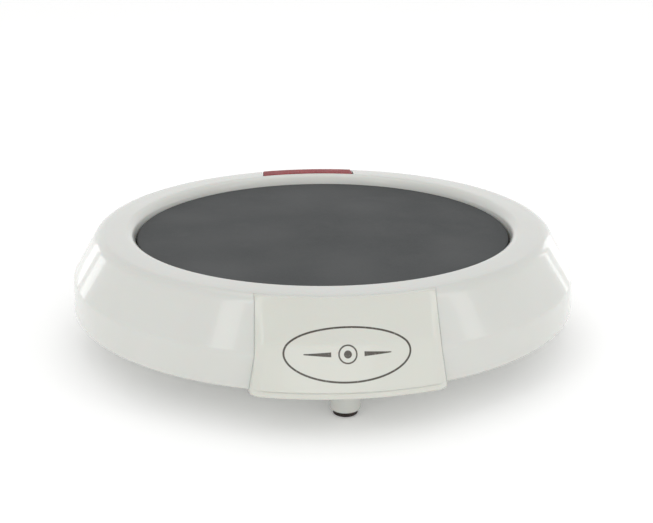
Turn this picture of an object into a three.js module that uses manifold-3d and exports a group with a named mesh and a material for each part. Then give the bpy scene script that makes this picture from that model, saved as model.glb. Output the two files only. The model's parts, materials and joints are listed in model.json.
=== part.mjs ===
// Electric candle warmer plate: a low round mains appliance that keeps a jar candle melted.
// Millimetres, +Z up. The origin is on the body's axis, on the surface that the rubber feet stand on.
// -Y is the front, with the raised panel. The rocker switch and the cord gland are at the rear, +Y.

import * as THREE from 'three';
import { mergeVertices } from 'three/addons/utils/BufferGeometryUtils.js';
import Module from 'manifold-3d';

const wasm = await Module();
wasm.setup();

// Overall form, as radii and heights of the revolved body
const ROUND = 80; // sides of the large round pieces
const GAP = 0.3; // clearance between pieces that touch
const WALL = 2.4;
const SKIRT_R = 70;
const SKIRT_BOTTOM_Z = 10;
const KNEE_R = 69.6; // where the skirt turns into the sloping cone
const KNEE_Z = 18.7;
const SHOULDER_R = 62.55; // where the cone would meet the flat top ring, before rounding
const RING_TOP_Z = 30.5;
const SHOULDER_RADIUS = 4;
const OPENING_R = 53.1; // the round opening that shows the hot plate
const OPENING_ROUND = 2.2;
const COLLAR_INNER_R = 52.4; // the opening's wall leans in a little towards its lower edge
const COLLAR_OUTER_R = 55.3;
const COLLAR_BOTTOM_Z = 25.4;

// Hot plate and the stack that heats it
const PLATE_R = 52;
const PLATE_TOP_Z = 27.8;
const PLATE_SHEET = 1.5;
const FLANGE_R = 57.2; // outer radius of the plate's flange, its gasket and the heat shield's flange
const FLANGE_TOP_Z = 23.6;
const STUD_R = 2;
const STUD_END_Z = 15.4;
const SHEET_R = 49.5;
const RIBBON_RADII = [16, 29, 42]; // the heater's three concentric loops
const RIBBON_WIDTH = 6;
const RIBBON_GAP_ANGLE = 14; // half of the gap on the left, where the loops join and end
const TAB_SIZE = [0.8, 4]; // thickness and width of the two tabs at the ribbon's ends
const SHIELD_FLOOR_Z = 14.3;
const SHIELD_SHEET = 0.8;

// Fasteners and feet
const BOSS_R = 2.9;
const BOSS_CIRCLE_R = 60.4; // bosses that hold the heat shield and the switch carrier
const BOSS_END_Z = 22.1;
const PILOT_R = 1.1;
const PILOT_END_Z = 27.4;
const SMALL_SCREW = { headR: 2.4, shankR: 0.8, headHeight: 1.5, tipZ: 26.8 };
const SHIELD_SCREW_ANGLES = [30, 150, 270];
const CARRIER_SCREW_ANGLES = { right: 71, left: 109 };
const BASE_BOSS_R = 3.2;
const BASE_BOSS_CIRCLE_R = 62.6;
const BASE_SCREW_ANGLES = [45, 135, 225, 315];
const BASE_PILOT_R = 1.4;
const BASE_PILOT_END_Z = 21.5;
const FOOT_CIRCLE_R = 59.3;
const FOOT_ANGLES = { front: 270, right: 0, rear: 90, left: 180 };
const FOOT_STEM_R = 3.8;
const FOOT_STEM_END_Z = 1.1;
const FOOT_SOCKET_R = 1.8;
const FOOT_SOCKET_END_Z = 5;
const PAD_R = 3;
const PAD_THICKNESS = 1;
const PAD_STUD_R = 1.4;
const PAD_STUD_END_Z = 4;
const COVER_R = SKIRT_R - WALL - 2 * GAP;
const COVER_BOTTOM_Z = SKIRT_BOTTOM_Z + GAP;
const COVER_THICKNESS = 2;
const VENT_X = [34, 52]; // where the vent slots start and end, on each side
const VENT_PITCH = 6;
const VENT_HALF_WIDTH = 1.5;

// Front panel: proud of the cone at the top and 3 mm proud of the skirt at the bottom
const PANEL_BOTTOM_R = 73.05;
const PANEL_BOTTOM_Z = 9.7;
const PANEL_KNEE_R = 69.3;
const PANEL_KNEE_Z = 21.5;
const PANEL_TOP_R = 62.6;
const PANEL_TOP_Z = 30.4;
const PANEL_INNER_R = 61.7;
const PANEL_SEAT_DEPTH = 1.2;
const PANEL_SEAT_DOWN = 2.4; // where the back of the panel starts to follow the cone
const PANEL_HALF_WIDTH = 20.65; // at PANEL_WIDTH_AT, in y and z
const PANEL_WIDTH_AT = [-59.5, 30];
const PANEL_FLARE = 0.168; // how much its half width grows per millimetre downwards
const PANEL_DRAFT = 0.204; // how much it shrinks per millimetre forwards

// Rocker switch: a paddle that wraps over the shoulder and tilts about an axis along X. At rest, off, its
// top face is flush with the ring and its lower end stands proud of the cone.
const PIVOT_Y = 59.6;
const PIVOT_Z = 25.5;
const PADDLE_LEAN = 4; // degrees that the plunger leans to each side between off and on
const PADDLE_HALF_WIDTH = 14.7;
const PADDLE_INNER_R = 55.4;
const PADDLE_REACH = 7.4; // how far it comes down the cone from the shoulder
const PADDLE_TOP_Z = RING_TOP_Z + 0.05;
const PADDLE_END_PROUD = 0.7;
const PADDLE_SIDE_GAP = 0.4; // between the paddle's ends and its window
const PADDLE_END_GAP = 1.15; // below its lower end, so that it can tilt
const PADDLE_WALL = 2;
const PADDLE_SKIRT_R = 5.9; // outer radius, about the hinge, of the thin skirt inside its lower end
const PADDLE_SKIRT_ANGLES = [-14, -23, -32];
const PIN_R = 1.1;
const EAR_INNER_X = 10.4;
const EAR_OUTER_X = 12;
const PLUNGER_X = 6.5;
const PLUNGER_R = 1;
const BARREL_R = 1.9;
const BARREL_BORE_R = 1.3;
const BARREL_END_Z = 22.3;
const CARRIER_TOP_Z = BOSS_END_Z - GAP;
const CARRIER_BOTTOM_Z = 20.2;

// Contact block under the carrier
const BRIDGE_Z = 16.3; // the bridge rocks about an axis at this height, under the plunger
const BRIDGE_TILT = 6; // degrees each side of level
const BRIDGE_HALF_LENGTH = 3.2;
const BRIDGE_THICKNESS = 0.5;
const BLOCK = { x: [3, 10], y: [54.8, 64.4], z: [13.2, 19.9] };
const BLOCK_WALL = 1.2;
const BLOCK_FLOOR_Z = 15;

// Cord gland in a notch of the skirt at the rear
const GLAND_Z = 14.4;
const GLAND_BORE_R = 3.1;
const GLAND_BARREL_R = 3.7;
const GLAND_FLANGE_R = 4.2;
const GLAND_OUTER_Y = PANEL_BOTTOM_R;
const GLAND_INNER_Y = 65.5;
const WIRE_R = 0.9;

// The cone's direction down its slope, and its outward normal, in the (r, z) plane
const CONE = new THREE.Vector2(KNEE_R - SHOULDER_R, KNEE_Z - RING_TOP_Z).normalize();
const CONE_NORMAL = new THREE.Vector2(-CONE.y, CONE.x);
const CONE_LEAN = Math.asin(CONE.x);

const materials = {
  white: plain(0xe6e6e0, 0.28, 0),
  cream: plain(0xdcddcf, 0.3, 0),
  coating: plain(0x4a4d4f, 0.55, 0.3),
  silicone: plain(0xb9bab2, 0.7, 0),
  red: plain(0xa02a30, 0.2, 0),
  rubber: plain(0x2a2220, 0.85, 0),
  black: plain(0x26272a, 0.5, 0),
  steel: plain(0xa9abad, 0.35, 0.9),
  galvanised: plain(0x9ea3a5, 0.45, 0.8),
  brass: plain(0xc2a04d, 0.35, 0.9),
  mica: plain(0xb59a6a, 0.4, 0),
  nichrome: plain(0x6f6a66, 0.4, 0.9),
  fibre: plain(0xe8e4d8, 0.95, 0),
  label: plain(0xd4d6d8, 0.4, 0.2),
  glass: plain(0xf0c8a0, 0.1, 0),
  resistor: plain(0xc9b48a, 0.5, 0),
  sleeve: plain(0xd8d2c0, 0.7, 0),
};

const warmer = new THREE.Group();
warmer.name = 'candle_warmer_plate';

function plain(color, roughness, metalness) {
  return new THREE.MeshStandardMaterial({ color, roughness, metalness });
}

// ---------------------------------------------------------------- helpers

// Turns a closed three.js geometry into a solid for cutting and joining, with its faces pointing out.
function solid(source) {
  const bare = source.clone();
  bare.deleteAttribute('normal');
  bare.deleteAttribute('uv');
  const merged = mergeVertices(bare, 1e-4);
  const position = merged.attributes.position;
  const corners = [new THREE.Vector3(), new THREE.Vector3(), new THREE.Vector3()];
  const triangles = [];
  let volume = 0;
  for (let i = 0; i < merged.index.count; i += 3) {
    const triangle = [0, 1, 2].map((k) => merged.index.getX(i + k));
    if (new Set(triangle).size < 3) continue;
    triangles.push(triangle);
    triangle.forEach((vertex, k) => corners[k].fromBufferAttribute(position, vertex));
    volume += corners[0].dot(corners[1].clone().cross(corners[2]));
  }
  if (volume < 0) triangles.forEach((triangle) => triangle.reverse());
  return new wasm.Manifold(
    new wasm.Mesh({
      numProp: 3,
      vertProperties: Float32Array.from(position.array),
      triVerts: Uint32Array.from(triangles.flat()),
    }),
  );
}

// Adds a finished solid to the assembly as a named mesh.
function add(name, shape, material) {
  const { vertProperties, triVerts } = shape.getMesh();
  const geometry = new THREE.BufferGeometry();
  geometry.setAttribute('position', new THREE.BufferAttribute(vertProperties, 3));
  geometry.setIndex(new THREE.BufferAttribute(triVerts, 1));
  geometry.computeVertexNormals();
  const mesh = new THREE.Mesh(geometry, material);
  mesh.name = name;
  warmer.add(mesh);
}

function joined(first, ...others) {
  return others.reduce((whole, piece) => whole.add(piece), first);
}

function cut(whole, ...tools) {
  return tools.reduce((rest, tool) => rest.subtract(tool), whole);
}

// Rounds the corners of a closed outline. Each corner is [across, up] or [across, up, radius].
function rounded(corners, step = 15) {
  const points = corners.map(([x, y]) => new THREE.Vector2(x, y));
  return corners.flatMap(([, , radius], i) => {
    const here = points[i];
    if (!radius) return [[here.x, here.y]];
    const back = points.at(i - 1).clone().sub(here).normalize();
    const ahead = points[(i + 1) % points.length].clone().sub(here).normalize();
    const halfAngle = Math.acos(THREE.MathUtils.clamp(back.dot(ahead), -1, 1)) / 2;
    const inward = back.clone().add(ahead).normalize();
    const centre = here.clone().addScaledVector(inward, radius / Math.sin(halfAngle));
    const start = here.clone().addScaledVector(back, radius / Math.tan(halfAngle)).sub(centre);
    const end = here.clone().addScaledVector(ahead, radius / Math.tan(halfAngle)).sub(centre);
    const turn = Math.atan2(start.cross(end), start.dot(end));
    const steps = Math.max(1, Math.round(Math.abs(turn) / THREE.MathUtils.degToRad(step)));
    return Array.from({ length: steps + 1 }, (_, k) => {
      const point = start.clone().rotateAround(new THREE.Vector2(), (turn * k) / steps).add(centre);
      return [point.x, point.y];
    });
  });
}

// Revolves a profile of [radius, height] points about the Z axis.
function revolve(profile, sides = ROUND) {
  const points = profile.map(([r, z]) => new THREE.Vector2(r, z));
  if (profile[0][0] > 0) points.push(points[0].clone());
  const geometry = new THREE.LatheGeometry(points, sides);
  geometry.rotateX(Math.PI / 2);
  return solid(geometry);
}

function disc(radius, bottom, top, sides = ROUND) {
  return revolve([[0, bottom], [radius, bottom], [radius, top], [0, top]], sides);
}

// An upright cylinder about (x, y).
function postShape(x, y, radius, bottom, top, sides = 16) {
  const geometry = new THREE.CylinderGeometry(radius, radius, top - bottom, sides);
  geometry.rotateX(Math.PI / 2);
  geometry.translate(x, y, (bottom + top) / 2);
  return geometry;
}

function post(...sizes) {
  return solid(postShape(...sizes));
}

// A cylinder along X, from x = left to x = right.
function rod(left, right, y, z, radius, sides = 16) {
  const geometry = new THREE.CylinderGeometry(radius, radius, right - left, sides);
  geometry.rotateZ(Math.PI / 2);
  geometry.translate((left + right) / 2, y, z);
  return solid(geometry);
}

function block([x0, x1], [y0, y1], [z0, z1], turn = 0) {
  const geometry = new THREE.BoxGeometry(x1 - x0, y1 - y0, z1 - z0);
  geometry.translate((x0 + x1) / 2, (y0 + y1) / 2, (z0 + z1) / 2);
  geometry.rotateZ(THREE.MathUtils.degToRad(turn));
  return solid(geometry);
}

// A flat outline in plan, raised from bottom to top.
function slab(outline, bottom, top) {
  const shape = new THREE.Shape(outline.map(([x, y]) => new THREE.Vector2(x, y)));
  const geometry = new THREE.ExtrudeGeometry(shape, { depth: top - bottom, bevelEnabled: false });
  geometry.translate(0, 0, bottom);
  return solid(geometry);
}

// An outline in the (y, z) plane, drawn out along X from left to right.
function sideways(outline, left, right) {
  const shape = new THREE.Shape(outline.map(([y, z]) => new THREE.Vector2(y, z)));
  const geometry = new THREE.ExtrudeGeometry(shape, { depth: right - left, bevelEnabled: false });
  geometry.applyMatrix4(
    new THREE.Matrix4().makeBasis(
      new THREE.Vector3(0, 1, 0),
      new THREE.Vector3(0, 0, 1),
      new THREE.Vector3(1, 0, 0),
    ),
  );
  geometry.translate(left, 0, 0);
  return solid(geometry);
}

function onCircle(radius, degrees) {
  const angle = THREE.MathUtils.degToRad(degrees);
  return [radius * Math.cos(angle), radius * Math.sin(angle)];
}

// A point on the cone: this far down the slope from the shoulder, and this far out along its normal.
function onCone(down, out) {
  return [
    SHOULDER_R + CONE.x * down + CONE_NORMAL.x * out,
    RING_TOP_Z + CONE.y * down + CONE_NORMAL.y * out,
  ];
}

// The shell's knee, moved in by a depth below both faces that meet there.
function sunkKnee(depth) {
  return [KNEE_R - depth, KNEE_Z - depth * Math.tan(CONE_LEAN / 2)];
}

// The shell's shoulder corner, moved in by a depth below the top ring and the cone.
function sunkShoulder(depth) {
  return [SHOULDER_R - depth * Math.tan(Math.PI / 4 - CONE_LEAN / 2), RING_TOP_Z - depth];
}

// A round bar along a smooth path, for wires.
function wireShape(points, radius, sides = 8, steps = 30) {
  const path = new THREE.CatmullRomCurve3(points.map((point) => new THREE.Vector3(...point)));
  const section = new THREE.Shape();
  Array.from({ length: sides }, (_, k) => onCircle(radius, (360 * k) / sides)).forEach(([x, y], k) =>
    k ? section.lineTo(x, y) : section.moveTo(x, y),
  );
  return new THREE.ExtrudeGeometry(section, { steps, extrudePath: path });
}

function wire(...sizes) {
  return solid(wireShape(...sizes));
}

// ---------------------------------------------------------------- housing

// The hexahedron whose sides are the panel's drafted side planes, widened all round by margin.
function panelWedge(margin) {
  const [atY, atZ] = PANEL_WIDTH_AT;
  const halfWidth = (y, z) => PANEL_HALF_WIDTH + (atZ - z) * PANEL_FLARE + (y - atY) * PANEL_DRAFT + margin;
  const geometry = new THREE.BoxGeometry(2, 28, 30);
  geometry.translate(0, -66, 20);
  const position = geometry.attributes.position;
  for (let i = 0; i < position.count; i += 1) {
    position.setX(i, position.getX(i) * halfWidth(position.getY(i), position.getZ(i)));
  }
  return solid(geometry);
}

// The recess in the shell that the panel lies in, as a solid to cut away.
function panelSeat() {
  const outside = revolve([
    [SKIRT_R - PANEL_SEAT_DEPTH, SKIRT_BOTTOM_Z - 2],
    [SKIRT_R + 6, SKIRT_BOTTOM_Z - 2],
    [SKIRT_R + 6, RING_TOP_Z + 2],
    [PANEL_INNER_R - GAP, RING_TOP_Z + 2],
    [PANEL_INNER_R - GAP, PANEL_TOP_Z - PANEL_SEAT_DEPTH - GAP / 2],
    onCone(PANEL_SEAT_DOWN, -PANEL_SEAT_DEPTH),
    sunkKnee(PANEL_SEAT_DEPTH),
  ]);
  return outside.intersect(panelWedge(GAP));
}

// The space that the paddle moves in, cut through the shoulder and the upper cone.
function paddleWindow() {
  const halfWidth = PADDLE_HALF_WIDTH + PADDLE_SIDE_GAP;
  const reach = PADDLE_REACH + PADDLE_END_GAP;
  const outline = [
    onCone(reach, 4),
    onCone(reach, -4),
    [58.4, 24],
    [50, 24],
    [50, RING_TOP_Z + 3],
    [SHOULDER_R + 3, RING_TOP_Z + 3],
  ];
  const kept = disc(PADDLE_INNER_R - GAP, 0, RING_TOP_Z + 6);
  return sideways(outline, -halfWidth, halfWidth).subtract(kept);
}

function glandNotch(margin) {
  const radius = GLAND_BARREL_R + margin;
  const round = new THREE.CylinderGeometry(radius, radius, 12, 24);
  round.translate(0, SKIRT_R - 1, GLAND_Z);
  const below = block([-radius, radius], [SKIRT_R - 7, SKIRT_R + 5], [SKIRT_BOTTOM_Z - 1, GLAND_Z]);
  return solid(round).add(below);
}

function housingShell() {
  const innerR = SKIRT_R - WALL - GAP;
  const body = revolve(
    rounded([
      [innerR, SKIRT_BOTTOM_Z],
      [SKIRT_R, SKIRT_BOTTOM_Z, 0.6],
      [KNEE_R, KNEE_Z, 3],
      [SHOULDER_R, RING_TOP_Z, SHOULDER_RADIUS],
      [OPENING_R, RING_TOP_Z, OPENING_ROUND],
      [COLLAR_INNER_R, COLLAR_BOTTOM_Z],
      [COLLAR_OUTER_R, COLLAR_BOTTOM_Z],
      [COLLAR_OUTER_R, RING_TOP_Z - WALL, 0.8],
      sunkShoulder(WALL),
      [innerR, sunkKnee(WALL)[1]],
    ]),
  );
  const smallBossAngles = [...SHIELD_SCREW_ANGLES, ...Object.values(CARRIER_SCREW_ANGLES)];
  const bosses = smallBossAngles.map((angle) =>
    post(...onCircle(BOSS_CIRCLE_R, angle), BOSS_R, BOSS_END_Z, RING_TOP_Z - WALL + 0.6),
  );
  const baseBosses = BASE_SCREW_ANGLES.map((angle) =>
    post(...onCircle(BASE_BOSS_CIRCLE_R, angle), BASE_BOSS_R, baseBossEnd(), 24),
  );
  const pilots = smallBossAngles.map((angle) =>
    post(...onCircle(BOSS_CIRCLE_R, angle), PILOT_R, BOSS_END_Z - 1, PILOT_END_Z, 10),
  );
  const basePilots = BASE_SCREW_ANGLES.map((angle) =>
    post(...onCircle(BASE_BOSS_CIRCLE_R, angle), BASE_PILOT_R, baseBossEnd() - 1, BASE_PILOT_END_Z, 10),
  );
  const whole = cut(joined(body, ...bosses, ...baseBosses), ...pilots, ...basePilots);
  return cut(whole, panelSeat(), paddleWindow(), glandNotch(GAP));
}

function baseBossEnd() {
  return COVER_BOTTOM_Z + COVER_THICKNESS + GAP;
}

function frontPanel() {
  const ring = revolve(
    rounded([
      [SKIRT_R - PANEL_SEAT_DEPTH + GAP, PANEL_BOTTOM_Z],
      [PANEL_BOTTOM_R, PANEL_BOTTOM_Z, 0.5],
      [PANEL_KNEE_R, PANEL_KNEE_Z, 8],
      [PANEL_TOP_R, PANEL_TOP_Z, 0.6],
      [PANEL_INNER_R, PANEL_TOP_Z],
      [PANEL_INNER_R, PANEL_TOP_Z - PANEL_SEAT_DEPTH],
      onCone(PANEL_SEAT_DOWN, GAP - PANEL_SEAT_DEPTH),
      sunkKnee(PANEL_SEAT_DEPTH - GAP),
    ]),
  );
  return ring.intersect(panelWedge(0));
}

function baseCover() {
  const top = COVER_BOTTOM_Z + COVER_THICKNESS;
  const stems = Object.values(FOOT_ANGLES).map((angle) =>
    post(...onCircle(FOOT_CIRCLE_R, angle), FOOT_STEM_R, FOOT_STEM_END_Z, COVER_BOTTOM_Z + 1, 24),
  );
  const sockets = Object.values(FOOT_ANGLES).map((angle) =>
    post(...onCircle(FOOT_CIRCLE_R, angle), FOOT_SOCKET_R, FOOT_STEM_END_Z - 1, FOOT_SOCKET_END_Z, 12),
  );
  const screwHoles = BASE_SCREW_ANGLES.flatMap((angle) => {
    const [x, y] = onCircle(BASE_BOSS_CIRCLE_R, angle);
    return [
      post(x, y, 1.5, COVER_BOTTOM_Z - 1, top + 1, 12),
      post(x, y, 3.1, COVER_BOTTOM_Z - 1, COVER_BOTTOM_Z + 1.1, 16),
    ];
  });
  const [ventStart, ventEnd] = VENT_X;
  const slots = [-3, -2, -1, 0, 1, 2, 3].flatMap((k) => {
    const across = [k * VENT_PITCH - VENT_HALF_WIDTH, k * VENT_PITCH + VENT_HALF_WIDTH];
    return [
      block([ventStart, ventEnd], across, [COVER_BOTTOM_Z - 1, top + 1]),
      block([-ventEnd, -ventStart], across, [COVER_BOTTOM_Z - 1, top + 1]),
    ];
  });
  const plateOfCover = disc(COVER_R, COVER_BOTTOM_Z, top);
  const notch = block([-4.7, 4.7], [GLAND_INNER_Y - 0.5, SKIRT_R], [COVER_BOTTOM_Z - 1, top + 1]);
  return cut(joined(plateOfCover, ...stems), ...sockets, ...screwHoles, ...slots, notch);
}

function addFeetAndBaseScrews() {
  Object.entries(FOOT_ANGLES).forEach(([side, angle]) => {
    const [x, y] = onCircle(FOOT_CIRCLE_R, angle);
    const stud = post(x, y, PAD_STUD_R, PAD_THICKNESS / 2, PAD_STUD_END_Z, 12);
    const pad = post(x, y, PAD_R, 0, PAD_THICKNESS, 20).add(stud);
    add(`foot_pad_${side}`, pad, materials.rubber);
  });
  BASE_SCREW_ANGLES.forEach((angle, i) => {
    const [x, y] = onCircle(BASE_BOSS_CIRCLE_R, angle);
    add(`base_screw_${i + 1}`, screw(x, y, 2.7, 1.1, COVER_BOTTOM_Z - 0.5, 1.3, 20), materials.steel);
  });
}

// A round-headed self-tapping screw that points up, with a cross recess in its head.
function screw(x, y, headR, shankR, headBottom, headHeight, tip) {
  const profile = [
    [0, headBottom],
    [headR * 0.7, headBottom],
    [headR, headBottom + headHeight * 0.5],
    [headR, headBottom + headHeight],
    [shankR, headBottom + headHeight],
    [shankR, tip - 1.5],
    [0, tip],
  ];
  const points = profile.map(([r, z]) => new THREE.Vector2(r, z));
  const geometry = new THREE.LatheGeometry(points, 12);
  geometry.rotateX(Math.PI / 2);
  geometry.translate(x, y, 0);
  const depth = [headBottom - 1, headBottom + headHeight * 0.6];
  const slots = [
    block([x - headR * 0.5, x + headR * 0.5], [y - 0.3, y + 0.3], depth),
    block([x - 0.3, x + 0.3], [y - headR * 0.5, y + headR * 0.5], depth),
  ];
  return cut(solid(geometry), ...slots);
}

// A screw up into one of the small bosses, with its head just under the sheet or frame that it holds.
function smallScrew(x, y, headTop) {
  const { headR, shankR, headHeight, tipZ } = SMALL_SCREW;
  return screw(x, y, headR, shankR, headTop - headHeight, headHeight, tipZ);
}

function cordGland() {
  const along = (radius, from, to) => {
    const geometry = new THREE.CylinderGeometry(radius, radius, to - from, 24);
    geometry.translate(0, (from + to) / 2, GLAND_Z);
    return solid(geometry);
  };
  const nose = new THREE.CylinderGeometry(GLAND_BARREL_R, GLAND_FLANGE_R, 1.4, 24);
  nose.translate(0, GLAND_OUTER_Y - 0.7, GLAND_Z);
  const whole = joined(
    along(GLAND_FLANGE_R, SKIRT_R + GAP, GLAND_OUTER_Y - 1.4),
    solid(nose),
    along(GLAND_BARREL_R, GLAND_INNER_Y, SKIRT_R + GAP),
    along(GLAND_FLANGE_R, GLAND_INNER_Y, GLAND_INNER_Y + 1.2),
  );
  return cut(whole, along(GLAND_BORE_R, GLAND_INNER_Y - 1, GLAND_OUTER_Y + 1));
}

// ---------------------------------------------------------------- hot plate and heater

// A pressed metal pan, open below, with a flange that hangs under the collar and a welded centre stud.
function hotPlate() {
  const underside = PLATE_TOP_Z - PLATE_SHEET;
  const flangeBottom = FLANGE_TOP_Z - PLATE_SHEET;
  const profile = [
    [0, STUD_END_Z],
    [STUD_R, STUD_END_Z],
    [STUD_R, underside],
    [PLATE_R - PLATE_SHEET, underside],
    [PLATE_R - PLATE_SHEET, flangeBottom],
    [FLANGE_R, flangeBottom],
    [FLANGE_R, FLANGE_TOP_Z],
    [PLATE_R, FLANGE_TOP_Z],
    [PLATE_R, PLATE_TOP_Z, 0.6],
    [0, PLATE_TOP_Z],
  ];
  return revolve(rounded(profile, 45));
}

function plateGasket() {
  const bottom = FLANGE_TOP_Z + GAP;
  return revolve([
    [PLATE_R + 0.5, bottom],
    [FLANGE_R, bottom],
    [FLANGE_R, COLLAR_BOTTOM_Z - GAP],
    [PLATE_R + 0.5, COLLAR_BOTTOM_Z - GAP],
  ]);
}

// A disc with a hole that clears the stud.
function washerDisc(radius, bottom, top, sides = 48) {
  const hole = STUD_R + 0.4;
  return revolve([[hole, bottom], [radius, bottom], [radius, top], [hole, top]], sides);
}

// The places of the heater's tabs, at the inner loop's end and at the outer loop's end.
function tabPlaces() {
  const [innerR, , outerR] = RIBBON_RADII;
  return { line: onCircle(innerR, 160), neutral: onCircle(outerR, 200) };
}

// The slots that the tabs pass through, in the sheets below the ribbon.
function tabSlots() {
  const [thickness, width] = TAB_SIZE.map((size) => size / 2 + 0.4);
  return Object.values(tabPlaces()).map(([x, y]) =>
    block([x - thickness, x + thickness], [y - width, y + width], [15, 25]),
  );
}

// One flat foil conductor in three loops, joined in turn at each side of the gap on the left.
function heaterRibbon(bottom, top) {
  const half = RIBBON_WIDTH / 2;
  const loops = RIBBON_RADII.map((r) =>
    revolve([[r - half, bottom], [r + half, bottom], [r + half, top], [r - half, top]], 40),
  );
  const spread = 60 * Math.tan(THREE.MathUtils.degToRad(RIBBON_GAP_ANGLE));
  const wedge = slab([[0, 0], [-60, spread], [-60, -spread]], bottom - 1, top + 1);
  const [inner, middle, outer] = RIBBON_RADII;
  const lean = RIBBON_GAP_ANGLE + 6;
  const firstLink = block([inner, middle], [-half, half], [bottom, top], 180 + lean);
  const secondLink = block([middle, outer], [-half, half], [bottom, top], 180 - lean);
  return joined(cut(joined(...loops), wedge), firstLink, secondLink);
}

function addHeaterStack() {
  let top = PLATE_TOP_Z - PLATE_SHEET - GAP;
  const place = (name, thickness, material, shape) => {
    add(name, shape(top - thickness, top), material);
    top -= thickness + GAP;
  };
  const slotted = (radius) => (low, high) => cut(washerDisc(radius, low, high), ...tabSlots());
  place('upper_mica_sheet', 0.4, materials.mica, (low, high) => washerDisc(SHEET_R, low, high));
  place('heater_ribbon', 0.4, materials.nichrome, heaterRibbon);
  place('lower_mica_sheet', 0.4, materials.mica, slotted(SHEET_R));
  place('insulation_pad', 2, materials.fibre, slotted(SHEET_R - 0.5));
  place('clamp_plate', 0.8, materials.galvanised, slotted(SHEET_R - 1.5));
  place('clamp_washer', 0.6, materials.steel, (low, high) => washerDisc(4.2, low, high, 20));
  place('clamp_nut', 3.1, materials.steel, (low, high) => washerDisc(3.9, low, high, 6));
}

function addHeaterTabs() {
  const [thickness, width] = TAB_SIZE.map((size) => size / 2);
  Object.entries(tabPlaces()).forEach(([side, [x, y]]) => {
    const tab = block([x - thickness, x + thickness], [y - width, y + width], [17.5, 24.55]);
    const eye = block([x - 1, x + 1], [y - 0.6, y + 0.6], [18.6, 19.8]);
    add(`heater_tab_${side}`, cut(tab, eye), materials.brass);
  });
}

// A pressed pan below the heater. Its flange holds the hot plate's flange up against the gasket.
function heatShield() {
  const wallR = PLATE_R - PLATE_SHEET + 0.7;
  const flangeTop = BOSS_END_Z - GAP;
  const flangeBottom = flangeTop - SHIELD_SHEET;
  const pan = revolve([
    [0, SHIELD_FLOOR_Z - SHIELD_SHEET],
    [wallR, SHIELD_FLOOR_Z - SHIELD_SHEET],
    [wallR, flangeBottom],
    [FLANGE_R, flangeBottom],
    [FLANGE_R, flangeTop],
    [wallR - SHIELD_SHEET, flangeTop],
    [wallR - SHIELD_SHEET, SHIELD_FLOOR_Z],
    [0, SHIELD_FLOOR_Z],
  ]);
  const ears = SHIELD_SCREW_ANGLES.flatMap((angle) => [
    post(...onCircle(BOSS_CIRCLE_R, angle), BOSS_R, flangeBottom, flangeTop),
    block([FLANGE_R - 2, BOSS_CIRCLE_R], [-BOSS_R, BOSS_R], [flangeBottom, flangeTop], angle),
  ]);
  const holes = SHIELD_SCREW_ANGLES.map((angle) =>
    post(...onCircle(BOSS_CIRCLE_R, angle), 1.3, flangeBottom - 1, flangeTop + 1, 10),
  );
  const vents = [20, 160, 200, 340].map((angle) =>
    post(...onCircle(38, angle), 1.8, SHIELD_FLOOR_Z - 2, SHIELD_FLOOR_Z + 1, 12),
  );
  const wireHoles = [68.6, 111.2].map((angle) => block([48, 54], [-2.5, 2.5], [15, 18.9], angle));
  return cut(joined(pan, ...ears), ...holes, ...vents, ...wireHoles);
}

function addShieldScrews() {
  SHIELD_SCREW_ANGLES.forEach((angle, i) => {
    const [x, y] = onCircle(BOSS_CIRCLE_R, angle);
    add(`shield_screw_${i + 1}`, smallScrew(x, y, BOSS_END_Z - SHIELD_SHEET - 2 * GAP), materials.steel);
  });
}

// A bimetal cut-out against the clamp plate, with a blade terminal on each side.
function addThermostat() {
  const y = 26;
  const body = post(0, y, 6.5, 15.9, 20.5, 24);
  const blades = block([-10.5, 10.5], [y - 1.6, y + 1.6], [17.2, 17.9]);
  add('thermostat', body.add(blades), materials.black);
  const strap = joined(
    block([-3, 3], [y - 8.6, y + 8.6], [15, 15.5]),
    block([-3, 3], [y - 8.6, y - 8], [15, 20.5]),
    block([-3, 3], [y + 8, y + 8.6], [15, 20.5]),
    block([-3, 3], [y - 11, y - 8], [20, 20.5]),
    block([-3, 3], [y + 8, y + 11], [20, 20.5]),
  );
  add('thermostat_bracket', strap, materials.galvanised);
}

// ---------------------------------------------------------------- rocker switch

// Turns a shape about an axis along X through (y, z) and makes it solid.
function turnedAbout(y, z, degrees, geometry) {
  geometry.translate(0, -y, -z);
  geometry.rotateX(THREE.MathUtils.degToRad(degrees));
  geometry.translate(0, y, z);
  return solid(geometry);
}

function leaned(geometry) {
  return turnedAbout(PIVOT_Y, PIVOT_Z, PADDLE_LEAN, geometry);
}

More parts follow.
